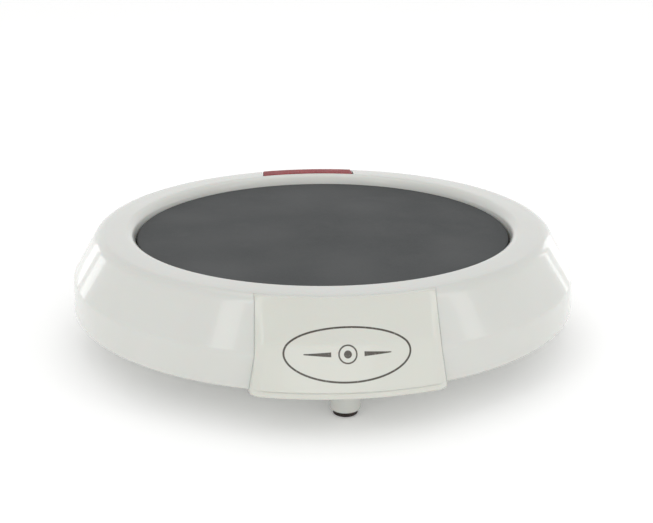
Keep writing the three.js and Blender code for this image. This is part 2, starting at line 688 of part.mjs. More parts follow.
// The paddle at rest: a cap that follows the shoulder, with an end wall and pin hole at each side, a thin
// skirt that closes the slit below its lower end, and a barrel for the plunger under it.
function switchPaddle() {
  const shoulder = new THREE.Vector2(SHOULDER_R + 0.05, PADDLE_TOP_Z);
  const tip = new THREE.Vector2(...onCone(PADDLE_REACH, PADDLE_END_PROUD));
  const down = tip.clone().sub(shoulder).normalize();
  const inward = new THREE.Vector2(down.y, -down.x).multiplyScalar(PADDLE_WALL);
  const innerTip = tip.clone().add(inward);
  const innerTopZ = PADDLE_TOP_Z - PADDLE_WALL;
  const innerShoulderR = innerTip.x - (down.x * (innerTopZ - innerTip.y)) / -down.y;
  const cap = revolve(
    rounded([
      [PADDLE_INNER_R, innerTopZ],
      [innerShoulderR, innerTopZ, 2.5],
      innerTip.toArray(),
      [...tip, 0.6],
      [...shoulder, SHOULDER_RADIUS],
      [PADDLE_INNER_R, PADDLE_TOP_Z, 0.5],
    ]),
    120,
  );
  const ends = revolve(
    [
      [PADDLE_INNER_R + 0.2, PADDLE_TOP_Z - 1],
      [57.4, 27.2],
      [58.2, 23],
      [63.2, 22.9],
      [innerTip.x - 0.2, innerTip.y + 0.4],
      [innerShoulderR + 0.9, innerTopZ + 0.4],
      [innerShoulderR - 1, PADDLE_TOP_Z - 1],
    ],
    120,
  );
  const aboutPivot = (radius) => (degrees) => {
    const [out, up] = onCircle(radius, degrees);
    return [PIVOT_Y + out, PIVOT_Z + up];
  };
  const skirt = revolve(
    [
      ...PADDLE_SKIRT_ANGLES.map(aboutPivot(PADDLE_SKIRT_R)),
      ...PADDLE_SKIRT_ANGLES.map(aboutPivot(PADDLE_SKIRT_R - 0.5)).reverse(),
    ],
    120,
  );
  const span = [[PIVOT_Y - 12, PIVOT_Y + 12], [PIVOT_Z - 6, PIVOT_Z + 8]];
  const endSlots = [-1, 1].map((side) => {
    const edges = [side * (EAR_OUTER_X + 0.4), side * PADDLE_HALF_WIDTH].sort((a, b) => a - b);
    return block(edges, ...span);
  });
  const middle = block([-PADDLE_HALF_WIDTH, PADDLE_HALF_WIDTH], ...span);
  const barrel = leaned(postShape(PLUNGER_X, PIVOT_Y, BARREL_R, BARREL_END_Z, innerTopZ + 1));
  const bore = leaned(postShape(PLUNGER_X, PIVOT_Y, BARREL_BORE_R, BARREL_END_Z - 1, innerTopZ - 0.1));
  const pinHoles = [
    rod(-PADDLE_HALF_WIDTH - 1, -EAR_OUTER_X, PIVOT_Y, PIVOT_Z, PIN_R + GAP),
    rod(EAR_OUTER_X, PADDLE_HALF_WIDTH + 1, PIVOT_Y, PIVOT_Z, PIN_R + GAP),
  ];
  const endWalls = ends.intersect(joined(...endSlots));
  return cut(joined(cap.add(skirt).intersect(middle), endWalls, barrel), bore, ...pinHoles);
}

function addPaddle() {
  add('switch_paddle', switchPaddle(), materials.red);

  const tip = BRIDGE_Z + BRIDGE_THICKNESS + GAP;
  const profile = rounded([[0, tip], [PLUNGER_R, tip, 0.95], [PLUNGER_R, 24.3], [0, 24.3]]);
  const plunger = new THREE.LatheGeometry(profile.map(([r, z]) => new THREE.Vector2(r, z)), 16);
  plunger.rotateX(Math.PI / 2);
  plunger.translate(PLUNGER_X, PIVOT_Y, 0);
  add('switch_plunger', leaned(plunger), materials.sleeve);

  const turns = 5;
  const [low, high] = [24.9, 27.8];
  const path = Array.from({ length: turns * 8 + 1 }, (_, k) => {
    const [x, y] = onCircle(0.8, k * 45);
    return [PLUNGER_X + x, PIVOT_Y + y, low + ((high - low) * k) / (turns * 8)];
  });
  add('plunger_spring', leaned(wireShape(path, 0.2, 5, turns * 12)), materials.steel);
}

// The frame that the pins sit in. It is screwed up to two bosses of the shell.
function switchCarrier() {
  const level = [CARRIER_BOTTOM_Z, CARRIER_TOP_Z];
  const ear = (left, right) =>
    joined(
      block([left, right], [PIVOT_Y - 1.9, PIVOT_Y + 1.9], [CARRIER_BOTTOM_Z, PIVOT_Z]),
      rod(left, right, PIVOT_Y, PIVOT_Z, 1.9, 20),
    );
  const tabs = Object.values(CARRIER_SCREW_ANGLES).map((angle) =>
    post(...onCircle(BOSS_CIRCLE_R, angle), BOSS_R - 0.1, ...level),
  );
  const screwHoles = Object.values(CARRIER_SCREW_ANGLES).map((angle) =>
    post(...onCircle(BOSS_CIRCLE_R, angle), 1.3, CARRIER_BOTTOM_Z - 1, CARRIER_TOP_Z + 1, 10),
  );
  const whole = joined(
    block([-20, 20], [57.9, 60], level),
    block([-15, 15], [57.9, 62.3], level),
    block([-9.5, 9.5], [57.9, 63.2], level),
    ear(EAR_INNER_X, EAR_OUTER_X),
    ear(-EAR_OUTER_X, -EAR_INNER_X),
    ...tabs,
  );
  const plungerNotch = block(
    [PLUNGER_X - 1.9, PLUNGER_X + 1.9],
    [57, PIVOT_Y + 2.1],
    [CARRIER_BOTTOM_Z - 1, CARRIER_TOP_Z + 1],
  );
  const pinHole = rod(-EAR_OUTER_X - 1, EAR_OUTER_X + 1, PIVOT_Y, PIVOT_Z, PIN_R + GAP);
  return cut(whole, plungerNotch, pinHole, ...screwHoles);
}

function addCarrier() {
  add('switch_carrier', switchCarrier(), materials.black);
  Object.entries(CARRIER_SCREW_ANGLES).forEach(([side, angle]) => {
    const [x, y] = onCircle(BOSS_CIRCLE_R, angle);
    add(`carrier_screw_${side}`, smallScrew(x, y, CARRIER_BOTTOM_Z - GAP), materials.steel);
    const sign = side === 'right' ? 1 : -1;
    const [headFrom, headTo] = [sign * 9.5, sign * (EAR_INNER_X - GAP)].sort((a, b) => a - b);
    const [from, to] = [sign * 9.5, sign * (PADDLE_HALF_WIDTH - GAP)].sort((a, b) => a - b);
    const head = rod(headFrom, headTo, PIVOT_Y, PIVOT_Z, 1.7);
    add(`pivot_pin_${side}`, head.add(rod(from, to, PIVOT_Y, PIVOT_Z, PIN_R)), materials.steel);
  });
}

function addContacts() {
  const [x0, x1] = BLOCK.x;
  const [y0, y1] = BLOCK.y;
  const inner = { x: [x0 + BLOCK_WALL, x1 - BLOCK_WALL], y: [y0 + BLOCK_WALL, y1 - BLOCK_WALL] };
  const loadY = [PIVOT_Y - BRIDGE_HALF_LENGTH, PIVOT_Y - BRIDGE_HALF_LENGTH + 1.2];
  const cavity = block(inner.x, inner.y, [BLOCK_FLOOR_Z, BLOCK.z[1] + 1]);
  const lineSlot = block([x0 - 1, x0 + 2], [PIVOT_Y - 1, PIVOT_Y + 1], [BLOCK_FLOOR_Z, 16]);
  const loadSlot = block([x1 - 2, x1 + 1], [loadY[0] - 0.3, loadY[1] + 0.3], [BLOCK_FLOOR_Z, 16]);
  add('contact_block', cut(block(BLOCK.x, BLOCK.y, BLOCK.z), cavity, lineSlot, loadSlot), materials.black);

  const floor = BLOCK_FLOOR_Z + GAP;
  const half = (inner.x[1] - inner.x[0]) / 2 - 0.6;
  const acrossBridge = [PLUNGER_X - half, PLUNGER_X + half];
  const line = joined(
    block([x0 - 4, acrossBridge[1]], [PIVOT_Y - 0.7, PIVOT_Y + 0.7], [floor, floor + 0.4]),
    block(acrossBridge, [PIVOT_Y - 0.4, PIVOT_Y + 0.4], [floor, BRIDGE_Z - GAP]),
  );
  add('line_contact', line, materials.brass);
  add('load_contact', block([acrossBridge[0], x1 + 2.5], loadY, [floor, floor + 0.35]), materials.brass);

  const bridge = new THREE.BoxGeometry(2 * half, 2 * BRIDGE_HALF_LENGTH, BRIDGE_THICKNESS);
  bridge.translate(PLUNGER_X, PIVOT_Y, BRIDGE_Z + BRIDGE_THICKNESS / 2);
  add('contact_bridge', turnedAbout(PIVOT_Y, BRIDGE_Z, -BRIDGE_TILT, bridge), materials.brass);
}

function addLamp() {
  const lampZ = CARRIER_TOP_Z + GAP + 2.2;
  const bulb = rod(-7.6, 2.4, 60.1, lampZ, 2.2, 20).add(rod(-9, -7.6, 60.1, lampZ, 1.4, 12));
  add('neon_lamp', bulb, materials.glass);
  const resistor = rod(-8, -2, 60, 18.4, 1.1, 14).add(rod(-10.5, 1, 60, 18.4, 0.35, 8));
  add('lamp_resistor', resistor, materials.resistor);
}

// ---------------------------------------------------------------- wiring

function addWiring() {
  const spliceAngle = 120;
  const [x, y] = onCircle(59.5, spliceAngle);
  const profile = rounded([[0, -7], [3, -7], [3, 5], [1.9, 7], [0, 7]]);
  const geometry = new THREE.LatheGeometry(profile.map(([r, z]) => new THREE.Vector2(r, z)), 16);
  geometry.rotateZ(THREE.MathUtils.degToRad(spliceAngle));
  geometry.translate(x, y, 16.7);
  add('splice_cap', solid(geometry), materials.sleeve);

  const tabs = tabPlaces();
  const toThermostat = [
    [13.1, 57, 15.5],
    [16.2, 56, 15.8],
    [18.5, 52.6, 16.4],
    [18.6, 47.5, 16.9],
    [16.5, 36, 17.2],
    [11.3, 26, 17.5],
  ];
  const toHeater = [
    [-11.1, 26, 17.5],
    [-17, 23, 17.5],
    [-20.5, 14.5, 17.5],
    [-19, 7.5, 17.8],
    [tabs.line[0] - 1, tabs.line[1], 18],
  ];
  const neutral = [
    [x + 6.8, y + 3.9, 16.7],
    [-21.2, 55.6, 16.7],
    [-19, 52.6, 16.8],
    [-18.4, 47.6, 16.9],
    [-20, 38, 17.1],
    [-29, 15, 17.4],
    [-33, -5, 17.7],
    [tabs.neutral[0] + 1.2, tabs.neutral[1], 18],
  ];
  add('lead_switch_to_thermostat', wire(toThermostat, WIRE_R), materials.sleeve);
  add('lead_thermostat_to_heater', wire(toHeater, WIRE_R), materials.sleeve);
  add('lead_neutral', wire(neutral, WIRE_R, 8, 40), materials.sleeve);
}

// ---------------------------------------------------------------- assembly

add('housing_shell', housingShell(), materials.white);
add('front_panel', frontPanel(), materials.cream);
add('base_cover', baseCover(), materials.white);
addFeetAndBaseScrews();
const labelZ = [COVER_BOTTOM_Z - 2 * GAP, COVER_BOTTOM_Z - GAP];
add('rating_label', block([-23, 23], [-36, -14], labelZ), materials.label);
add('cord_gland', cordGland(), materials.white);
add('hot_plate', hotPlate(), materials.coating);
add('plate_gasket', plateGasket(), materials.silicone);
addHeaterStack();
addHeaterTabs();
add('heat_shield', heatShield(), materials.galvanised);
addShieldScrews();
addThermostat();
addPaddle();
addCarrier();
addContacts();
addLamp();
addWiring();

export default warmer;
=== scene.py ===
"""Looks for the candle warmer plate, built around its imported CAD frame.

Sizes are in millimetres and are turned into metres when a mesh is made. The big visible pieces are built
again here with smooth surfaces, and stand for their CAD nodes. The small inner pieces keep their CAD shape
and only get better materials.
"""

import json
import math

import bmesh
import bpy
from mathutils import Matrix, Vector


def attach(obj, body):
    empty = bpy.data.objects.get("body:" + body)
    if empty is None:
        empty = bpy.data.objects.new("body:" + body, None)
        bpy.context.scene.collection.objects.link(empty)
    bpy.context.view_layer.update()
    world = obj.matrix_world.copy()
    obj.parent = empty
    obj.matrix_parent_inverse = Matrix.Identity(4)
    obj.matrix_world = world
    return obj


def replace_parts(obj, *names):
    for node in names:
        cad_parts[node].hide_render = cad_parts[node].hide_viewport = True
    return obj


MM = 0.001
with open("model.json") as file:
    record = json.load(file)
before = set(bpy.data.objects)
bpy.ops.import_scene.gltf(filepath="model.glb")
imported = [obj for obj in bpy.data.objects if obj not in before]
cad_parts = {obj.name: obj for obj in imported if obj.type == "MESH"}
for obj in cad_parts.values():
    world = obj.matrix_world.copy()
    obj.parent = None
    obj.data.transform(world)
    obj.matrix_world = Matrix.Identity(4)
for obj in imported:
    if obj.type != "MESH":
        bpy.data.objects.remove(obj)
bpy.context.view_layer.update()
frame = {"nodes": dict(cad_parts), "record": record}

# ---------------------------------------------------------------- sizes, in millimetres and degrees

SIDES = 288  # columns of a full turn
WALL = 2.4
SKIRT_R = 69.99
SKIRT_BOTTOM = 10.0
KNEE = (69.6, 18.7)
SHOULDER = (62.55, 30.5)
SHOULDER_RADIUS = 4.0
OPENING_R = 52.9
OPENING_ROUND = 2.6
COLLAR_INNER_R = 52.12  # the opening's wall leans in a little towards its lower edge
COLLAR_R = 55.3
COLLAR_BOTTOM = 25.4
PANEL_BOTTOM = (72.88, 9.7)
PANEL_KNEE = (69.3, 21.5)
PANEL_TOP = (62.6, 30.4)
PANEL_INNER_R = 61.7
PANEL_HALF_WIDTH = 20.65  # at PANEL_WIDTH_AT, in y and z
PANEL_WIDTH_AT = (-59.5, 30)
PANEL_FLARE = 0.168  # how much its half width grows per millimetre downwards
PANEL_DRAFT = 0.204  # how much it shrinks per millimetre forwards
SEAT_DEPTH = 1.2
SEAT_DOWN = 2.4  # where the back of the panel starts to follow the cone
GAP = 0.3
CLOSED = 0.02  # fitted pieces that look closed overlap by this much
PANEL_SPREAD = GAP + CLOSED  # the panel's sides fill the gap that the frame leaves for them
PANEL_EDGE = 1.9  # width of the soft band along the panel's sides
PANEL_EDGE_FALL = 0.42  # the share of the panel's height that this band falls by
HOUSING_MIDDLE = Vector((50, 20))  # a place well below the housing's face

BOSS_CIRCLE = 60.4  # bosses that hold the heat shield and the switch carrier
BOSS_ANGLES = (30, 150, 270, 71, 109)
BOSS_R = 2.9
BOSS_END = 22.1
BOSS_ROOT = 0.6  # how far the bosses run up into the ring
PILOT_R = 1.1
PILOT_START = 21.0  # below the bosses, so that the holes are open
PILOT_END = 27.4
PILOT_SIDES = 20
COVER_BOTTOM = SKIRT_BOTTOM + GAP
COVER_TOP = COVER_BOTTOM + 2
COVER_R = SKIRT_R - WALL - 2 * GAP
COVER_NOTCH_HALF = 4.7
BASE_SCREW_CIRCLE = 62.6
BASE_SCREW_ANGLES = (45, 135, 225, 315)
BASE_SCREW_HOLE_R = 1.5
BASE_SCREW_RECESS = (3.1, 1.1)  # radius and depth
BASE_BOSS_R = 3.2
BASE_BOSS_END = COVER_TOP + GAP
BASE_BOSS_ROOT = 24.0
BASE_PILOT_R = 1.4
BASE_PILOT_START = 11.5
BASE_PILOT_END = 21.5
VENT_X = (34, 52)  # where the vent slots start and end, on each side
VENT_PITCH = 6
VENT_HALF = 1.5
FOOT_CIRCLE = 59.3
FOOT_ANGLES = {"front": 270, "right": 0, "rear": 90, "left": 180}
FOOT_STEM_R = 3.8
FOOT_STEM_END = 1.1
FOOT_SOCKET_R = 1.8
FOOT_SOCKET_END = 5.0
PAD_R = 3.0
PAD_THICKNESS = 1.0
PAD_STUD_R = 1.4
PAD_STUD_END = 4.0

PLATE_R = 52.0
PLATE_TOP = 27.8
PLATE_SHEET = 1.5
FLANGE_R = 57.2
FLANGE_TOP = 23.6
STUD_R = 2.0
STUD_END = 15.4

GLAND_Z = 14.4
GLAND_BORE_R = 3.1
GLAND_BARREL_R = 3.7
GLAND_FLANGE_R = 4.2
GLAND_INNER_Y = 65.5
GLAND_SHOULDER_Y = 70.3
GLAND_OUTER_Y = 73.05
NOTCH_REACH = (63.0, 75.0)  # the cut for the gland runs past both faces of the skirt

PIVOT = (59.6, 25.5)  # y and z of the paddle's hinge
PIN_R = 1.1
PADDLE_HALF = 14.7
PADDLE_INNER_R = 55.4
PADDLE_REACH = 7.4  # how far it comes down the cone from the shoulder
PADDLE_END_GAP = 1.15  # the window's room below its lower end, so that it can tilt
PADDLE_RISE = 0.05  # how far its top stands over the ring
PADDLE_TOP = SHOULDER[1] + PADDLE_RISE
PADDLE_END_PROUD = 0.7
PADDLE_WALL = 2.0
PADDLE_EDGE = 0.45  # the round at the cap's two ends
PADDLE_END_INNER_X = 12.4  # inner face of its end walls
PADDLE_SKIRT_R = 5.9  # about the hinge
PADDLE_SKIRT_WALL = 0.5
BARREL_LEAN = 4.0  # degrees about X at rest
BARREL_X = 6.5
BARREL_R = 1.9
BARREL_BORE_R = 1.3
BARREL_HEIGHTS = (22.3, 29.4)

MARK_CENTRE = (-0.65, 20.55)  # x, and length up the panel's face
MARK_HALF = (14.4, 6.25)
MARK_SOFT = 0.05  # how far the edge of the ink fades, to each side
MARK_BAR = (3.75, 9.95)  # where each bar starts and ends, from the middle
MARK_BAR_HALF = (0.55, 0.12)  # half its height at those ends
FACE_RISE = 1.049  # length up the panel's face for each millimetre of height
UPPER_FACE_RISE = 0.203  # what each millimetre above the knee adds to that

# The cone's direction down its slope, its outward normal and its lean, in the (radius, height) plane
cone = Vector((KNEE[0] - SHOULDER[0], KNEE[1] - SHOULDER[1])).normalized()
cone_normal = Vector((-cone.y, cone.x))
cone_lean = math.asin(cone.x)


def on_circle(radius, degrees):
    angle = math.radians(degrees)
    return radius * math.cos(angle), radius * math.sin(angle)


def on_cone(down, out):
    """A point this far down the cone from the shoulder, and this far out along its normal."""
    return (
        SHOULDER[0] + cone.x * down + cone_normal.x * out,
        SHOULDER[1] + cone.y * down + cone_normal.y * out,
    )


def sunk_knee(depth):
    """The knee, moved in by a depth below both faces that meet there."""
    return KNEE[0] - depth, KNEE[1] - depth * math.tan(cone_lean / 2)


def sunk_shoulder(depth):
    """The shoulder, moved in by a depth below the top ring and the cone."""
    return SHOULDER[0] - depth * math.tan(math.pi / 4 - cone_lean / 2), SHOULDER[1] - depth


# ---------------------------------------------------------------- mesh helpers


def rounded(corners, step=6.0):
    """Rounds the corners of a closed outline. Each corner is (across, up) or (across, up, radius)."""
    outline = []
    for i, corner in enumerate(corners):
        here = Vector(corner[:2])
        if len(corner) < 3:
            outline.append(here)
            continue
        radius = corner[2]
        back = (Vector(corners[i - 1][:2]) - here).normalized()
        ahead = (Vector(corners[(i + 1) % len(corners)][:2]) - here).normalized()
        half = back.angle(ahead) / 2
        centre = here + (back + ahead).normalized() * radius / math.sin(half)
        start = here + back * radius / math.tan(half) - centre
        end = here + ahead * radius / math.tan(half) - centre
        turn = math.atan2(start.cross(end), start.dot(end))
        steps = max(2, round(abs(math.degrees(turn)) / step))
        for k in range(steps + 1):
            outline.append(centre + Matrix.Rotation(turn * k / steps, 2) @ start)
    return [(p[0], p[1]) for p in outline]


def subdivided(outline, longest):
    """Splits the long sides of a closed outline, so that no face is much longer than the rest."""
    points = []
    for i, here in enumerate(outline):
        ahead = outline[(i + 1) % len(outline)]
        parts = max(1, math.ceil(math.dist(here, ahead) / longest))
        for k in range(parts):
            share = k / parts
            points.append(tuple(a + (b - a) * share for a, b in zip(here, ahead)))
    return points


def new_object(name, verts, faces):
    """A mesh object from points in millimetres. Doubled points are merged and faces point outwards."""
    mesh = bpy.data.meshes.new(name)
    mesh.from_pydata([tuple(c * MM for c in v) for v in verts], [], faces)
    work = bmesh.new()
    work.from_mesh(mesh)
    bmesh.ops.remove_doubles(work, verts=work.verts, dist=1e-6)
    bmesh.ops.dissolve_degenerate(work, edges=work.edges, dist=1e-7)
    bmesh.ops.recalc_face_normals(work, faces=work.faces)
    work.to_mesh(mesh)
    work.free()
    made = bpy.data.objects.new(name, mesh)
    bpy.context.scene.collection.objects.link(made)
    return made


def lathe(name, outline, sides=SIDES):
    """Turns a closed outline of (radius, height) about the Z axis."""
    count = len(outline)
    verts = []
    for k in range(sides):
        across, along = on_circle(1, 360 * k / sides)
        verts += [(r * across, r * along, z) for r, z in outline]
    faces = []
    for k in range(sides):
        near, far = k * count, ((k + 1) % sides) * count
        for i in range(count):
            j = (i + 1) % count
            if outline[i][0] < 1e-6 and outline[j][0] < 1e-6:
                continue
            faces.append((near + i, far + i, far + j, near + j))
    return new_object(name, verts, faces)


def swept(name, sections):
    """Joins equal closed sections of 3-D points in a row, and closes both ends."""
    count = len(sections[0])
    verts = [point for section in sections for point in section]
    faces = []
    for k in range(len(sections) - 1):
        for i in range(count):
            j = (i + 1) % count
            faces.append((k * count + i, (k + 1) * count + i, (k + 1) * count + j, k * count + j))
    faces.append(tuple(range(count)))
    faces.append(tuple(range(len(verts) - count, len(verts))))
    return new_object(name, verts, faces)


def prism(name, outline, low, high, place):
    """An outline drawn out from low to high. place turns (across, up, along) into a point."""
    return swept(name, [[place(a, b, level) for a, b in outline] for level in (low, high)])


def moved(obj, matrix):
    obj.data.transform(matrix)
    return obj


def placed(obj, x, y):
    """Moves a piece made on the Z axis so that it stands on (x, y)."""
    return moved(obj, Matrix.Translation((x * MM, y * MM, 0)))


def posts(name, circle, angles, radius, low, high, sides=48):
    """Upright cylinders at these angles around a circle."""
    outline = [(0, low), (radius, low), (radius, high), (0, high)]
    return [placed(lathe(name, outline, sides), *on_circle(circle, angle)) for angle in angles]


def merged(first, *others):
    """Puts the meshes of several objects in the first one."""
    work = bmesh.new()
    for obj in (first, *others):
        work.from_mesh(obj.data)
    work.to_mesh(first.data)
    work.free()
    for obj in others:
        bpy.data.objects.remove(obj)
    return first


def boolean(target, tool, operation):
    """Applies one exact boolean to target and removes the tool."""
    modifier = target.modifiers.new("boolean", "BOOLEAN")
    modifier.operation = operation
    modifier.solver = "EXACT"
    modifier.object = tool
    depsgraph = bpy.context.evaluated_depsgraph_get()
    depsgraph.update()
    result = bpy.data.meshes.new_from_object(target.evaluated_get(depsgraph))
    target.modifiers.clear()
    old = target.data
    target.data = result
    bpy.data.meshes.remove(old)
    bpy.data.objects.remove(tool)
    return target


def smooth(obj, degrees=28):
    """Smooth shading that keeps the edges sharper than this angle."""
    obj.data.shade_smooth()
    obj.data.set_sharp_from_angle(angle=math.radians(degrees))
    return obj


def outline_normals(outline):
    """Unit normals at the points of a closed outline, pointing into it."""
    count = len(outline)
    area = sum(
        outline[i][0] * outline[(i + 1) % count][1] - outline[(i + 1) % count][0] * outline[i][1]
        for i in range(count)
    )
    normals = []
    for i, here in enumerate(outline):
        back = Vector(here) - Vector(outline[i - 1])
        ahead = Vector(outline[(i + 1) % count]) - Vector(here)
        along = (back.normalized() + ahead.normalized()).normalized()
        inward = Vector((-along.y, along.x))
        normals.append(inward if area > 0 else -inward)
    return normals


def round_edge(width, steps=7):
    """A quarter round, as pairs: how far in from the side, and what share of its depth it has fallen."""
    angles = [math.pi / 2 * k / steps for k in range(steps + 1)]
    return [(width * (1 - math.sin(angle)), 1 - math.cos(angle)) for angle in angles]


def sloped_edge(width, fall, steps=9):
    """A soft slope that falls by this share of the depth, and then a wall for the rest of it."""
    edge = []
    for k in range(steps + 1):
        share = k / steps
        edge.append((width * (1 - share), fall * share**1.5))
    return [*edge, (0.0, 1.0)]


def sector(name, outline, half_angle, edge, sunk, towards, columns=72):
    """Part of a turned ring. half_angle(r, z) gives the angle of its side at each point of the outline.

    edge is the profile of its side edges. sunk(point, inward) gives the place where each point of the outline
    ends at the side itself. towards is the azimuth of its middle, in degrees.
    """
    points = [Vector(point) for point in outline]
    ends = [sunk(point, inward) for point, inward in zip(points, outline_normals(outline))]
    stations = [(-1, back, sink) for back, sink in reversed(edge[1:])]
    stations += [(k / columns * 2 - 1, edge[0][0], 0.0) for k in range(columns + 1)]
    stations += [(1, back, sink) for back, sink in edge[1:]]
    sections = []
    for share, back, sink in stations:
        section = []
        for point, end in zip(points, ends):
            out, up = point.lerp(end, sink)
            angle = math.radians(towards) + share * (half_angle(out, up) - back / out)
            section.append((out * math.cos(angle), out * math.sin(angle), up))
        sections.append(section)
    return swept(name, sections)


# ---------------------------------------------------------------- materials


def set_range(map_range, low, high, out_low, out_high):
    """Makes a Map Range node take low..high to out_low..out_high, and gives its output."""
    bounds = (("From Min", low), ("From Max", high), ("To Min", out_low), ("To Max", out_high))
    for key, number in bounds:
        map_range.inputs[key].default_value = number
    return map_range.outputs["Result"]


class Finish:
    """A procedural material around one Principled shader. Lengths are in millimetres on the object."""

    def __init__(self, name):
        self.material = bpy.data.materials.new(name)
        self.material.use_nodes = True
        self.tree = self.material.node_tree
        self.shader = self.tree.nodes["Principled BSDF"]
        self.place = self.node("ShaderNodeTexCoord").outputs["Object"]

    def node(self, kind, **settings):
        made = self.tree.nodes.new(kind)
        for key, value in settings.items():
            setattr(made, key, value)
        return made

    def link(self, source, target):
        self.tree.links.new(source, target)

    def feed(self, value, socket):
        if isinstance(value, bpy.types.NodeSocket):
            self.link(value, socket)
        else:
            socket.default_value = value

    def math(self, operation, *values):
        made = self.node("ShaderNodeMath", operation=operation)
        for value, socket in zip(values, made.inputs):
            self.feed(value, socket)
        return made.outputs[0]

    def plus(self, first, second):
        return self.math("ADD", first, second)

    def minus(self, first, second):
        return self.math("SUBTRACT", first, second)

    def times(self, first, second):
        return self.math("MULTIPLY", first, second)

    def spread(self, value, low, high, out_low=0.0, out_high=1.0):
        """Maps low..high to out_low..out_high, and holds it there outside."""
        made = self.node("ShaderNodeMapRange")
        self.link(value, made.inputs["Value"])
        return set_range(made, low, high, out_low, out_high)

    def noise(self, size, detail=3.0, rough=0.5, stretch=None):
        """Soft noise with features of about this size in millimetres. stretch scales the three axes."""
        where = self.place
        if stretch:
            mapping = self.node("ShaderNodeMapping")
            self.link(where, mapping.inputs["Vector"])
            mapping.inputs["Scale"].default_value = stretch
            where = mapping.outputs["Vector"]
        made = self.node("ShaderNodeTexNoise")
        self.link(where, made.inputs["Vector"])
        made.inputs["Scale"].default_value = 1 / (size * MM)
        made.inputs["Detail"].default_value = detail
        made.inputs["Roughness"].default_value = rough
        return made.outputs["Fac"]

    def cells(self, size, output="Distance"):
        """Cells of about this size in millimetres."""
        made = self.node("ShaderNodeTexVoronoi")
        self.link(self.place, made.inputs["Vector"])
        made.inputs["Scale"].default_value = 1 / (size * MM)
        return made.outputs[output]

    def mix(self, share, first, second):
        made = self.node("ShaderNodeMix", data_type="RGBA")
        self.feed(share, made.inputs["Factor"])
        for value, socket in ((first, made.inputs["A"]), (second, made.inputs["B"])):
            self.feed((*value, 1.0) if isinstance(value, tuple) else value, socket)
        return made.outputs["Result"]

    def clouded(self, dark, light, size, detail, rough=0.5):
        """A colour that drifts between two tones, in patches of about this size in millimetres."""
        return self.mix(self.spread(self.noise(size, detail, rough), 0.35, 0.65), dark, light)

    def open_air(self, reach):
        """1 in the open, falling to 0 in narrow gaps and corners."""
        made = self.node("ShaderNodeAmbientOcclusion", samples=6, only_local=False)
        made.inputs["Distance"].default_value = reach * MM
        return made.outputs["AO"]

    def soften_edges(self, radius):
        """Rounds the look of hard edges."""
        made = self.node("ShaderNodeBevel", samples=4)
        made.inputs["Radius"].default_value = radius * MM
        return made.outputs["Normal"]

    def bump(self, height, depth, strength, base=None):
        """Raises the surface by up to depth millimetres where height goes from 0 to 1."""
        made = self.node("ShaderNodeBump")
        made.inputs["Strength"].default_value = strength
        made.inputs["Distance"].default_value = depth * MM
        self.link(height, made.inputs["Height"])
        if base:
            self.link(base, made.inputs["Normal"])
        return made.outputs["Normal"]

    def axis(self, name):
        """One object coordinate, in millimetres."""
        split = self.node("ShaderNodeSeparateXYZ")
        self.link(self.place, split.inputs["Vector"])
        return self.times(split.outputs[name], 1 / MM)

    def finish(self, color, roughness, normal=None, **constants):
        self.feed((*color, 1.0) if isinstance(color, tuple) else color, self.shader.inputs["Base Color"])
        self.feed(roughness, self.shader.inputs["Roughness"])
        if normal:
            self.link(normal, self.shader.inputs["Normal"])
        for key, value in constants.items():
            self.shader.inputs[key.replace("_", " ").title().replace("Ior", "IOR")].default_value = value
        return self.material


def moulded_body(name, light, dark, seam_shade_color, rough, mark=None):
    """Glossy moulded plastic: faint clouding, fine ripple, rubbed patches, and painted shade in the seams,
    which are also rougher.
    """
    look = Finish(name)
    color = look.clouded(dark, light, 28, 3)
    # Painted shade: seams and corners that ambient occlusion finds turn darker, in noise patches, and the
    # same mask makes them rougher
    painted_seam_shade = look.spread(look.open_air(1.2), 0.15, 0.55, 0.5, 0.0)
    painted_gap_shade = look.times(painted_seam_shade, look.spread(look.noise(5, 4), 0.3, 0.7, 0.5, 1.0))
    color = look.mix(painted_gap_shade, color, seam_shade_color)
    rubbed = look.spread(look.noise(16, 5, 0.65), 0.42, 0.7)
    roughness = look.plus(rough, look.times(rubbed, 0.07))
    roughness = look.plus(roughness, look.times(painted_gap_shade, 0.3))
    if mark:
        ink = mark(look)
        color = look.mix(ink, color, (0.045, 0.037, 0.026))
        roughness = look.plus(roughness, look.times(ink, 0.12))
    normal = look.bump(look.noise(14, 2), 0.04, 0.3, look.soften_edges(0.35))
    return look.finish(
        color,
        roughness,
        normal,
        ior=1.5,
        subsurface_weight=0.12,
        subsurface_scale=0.0015,
        coat_weight=0.5,
        coat_roughness=0.04,
    )


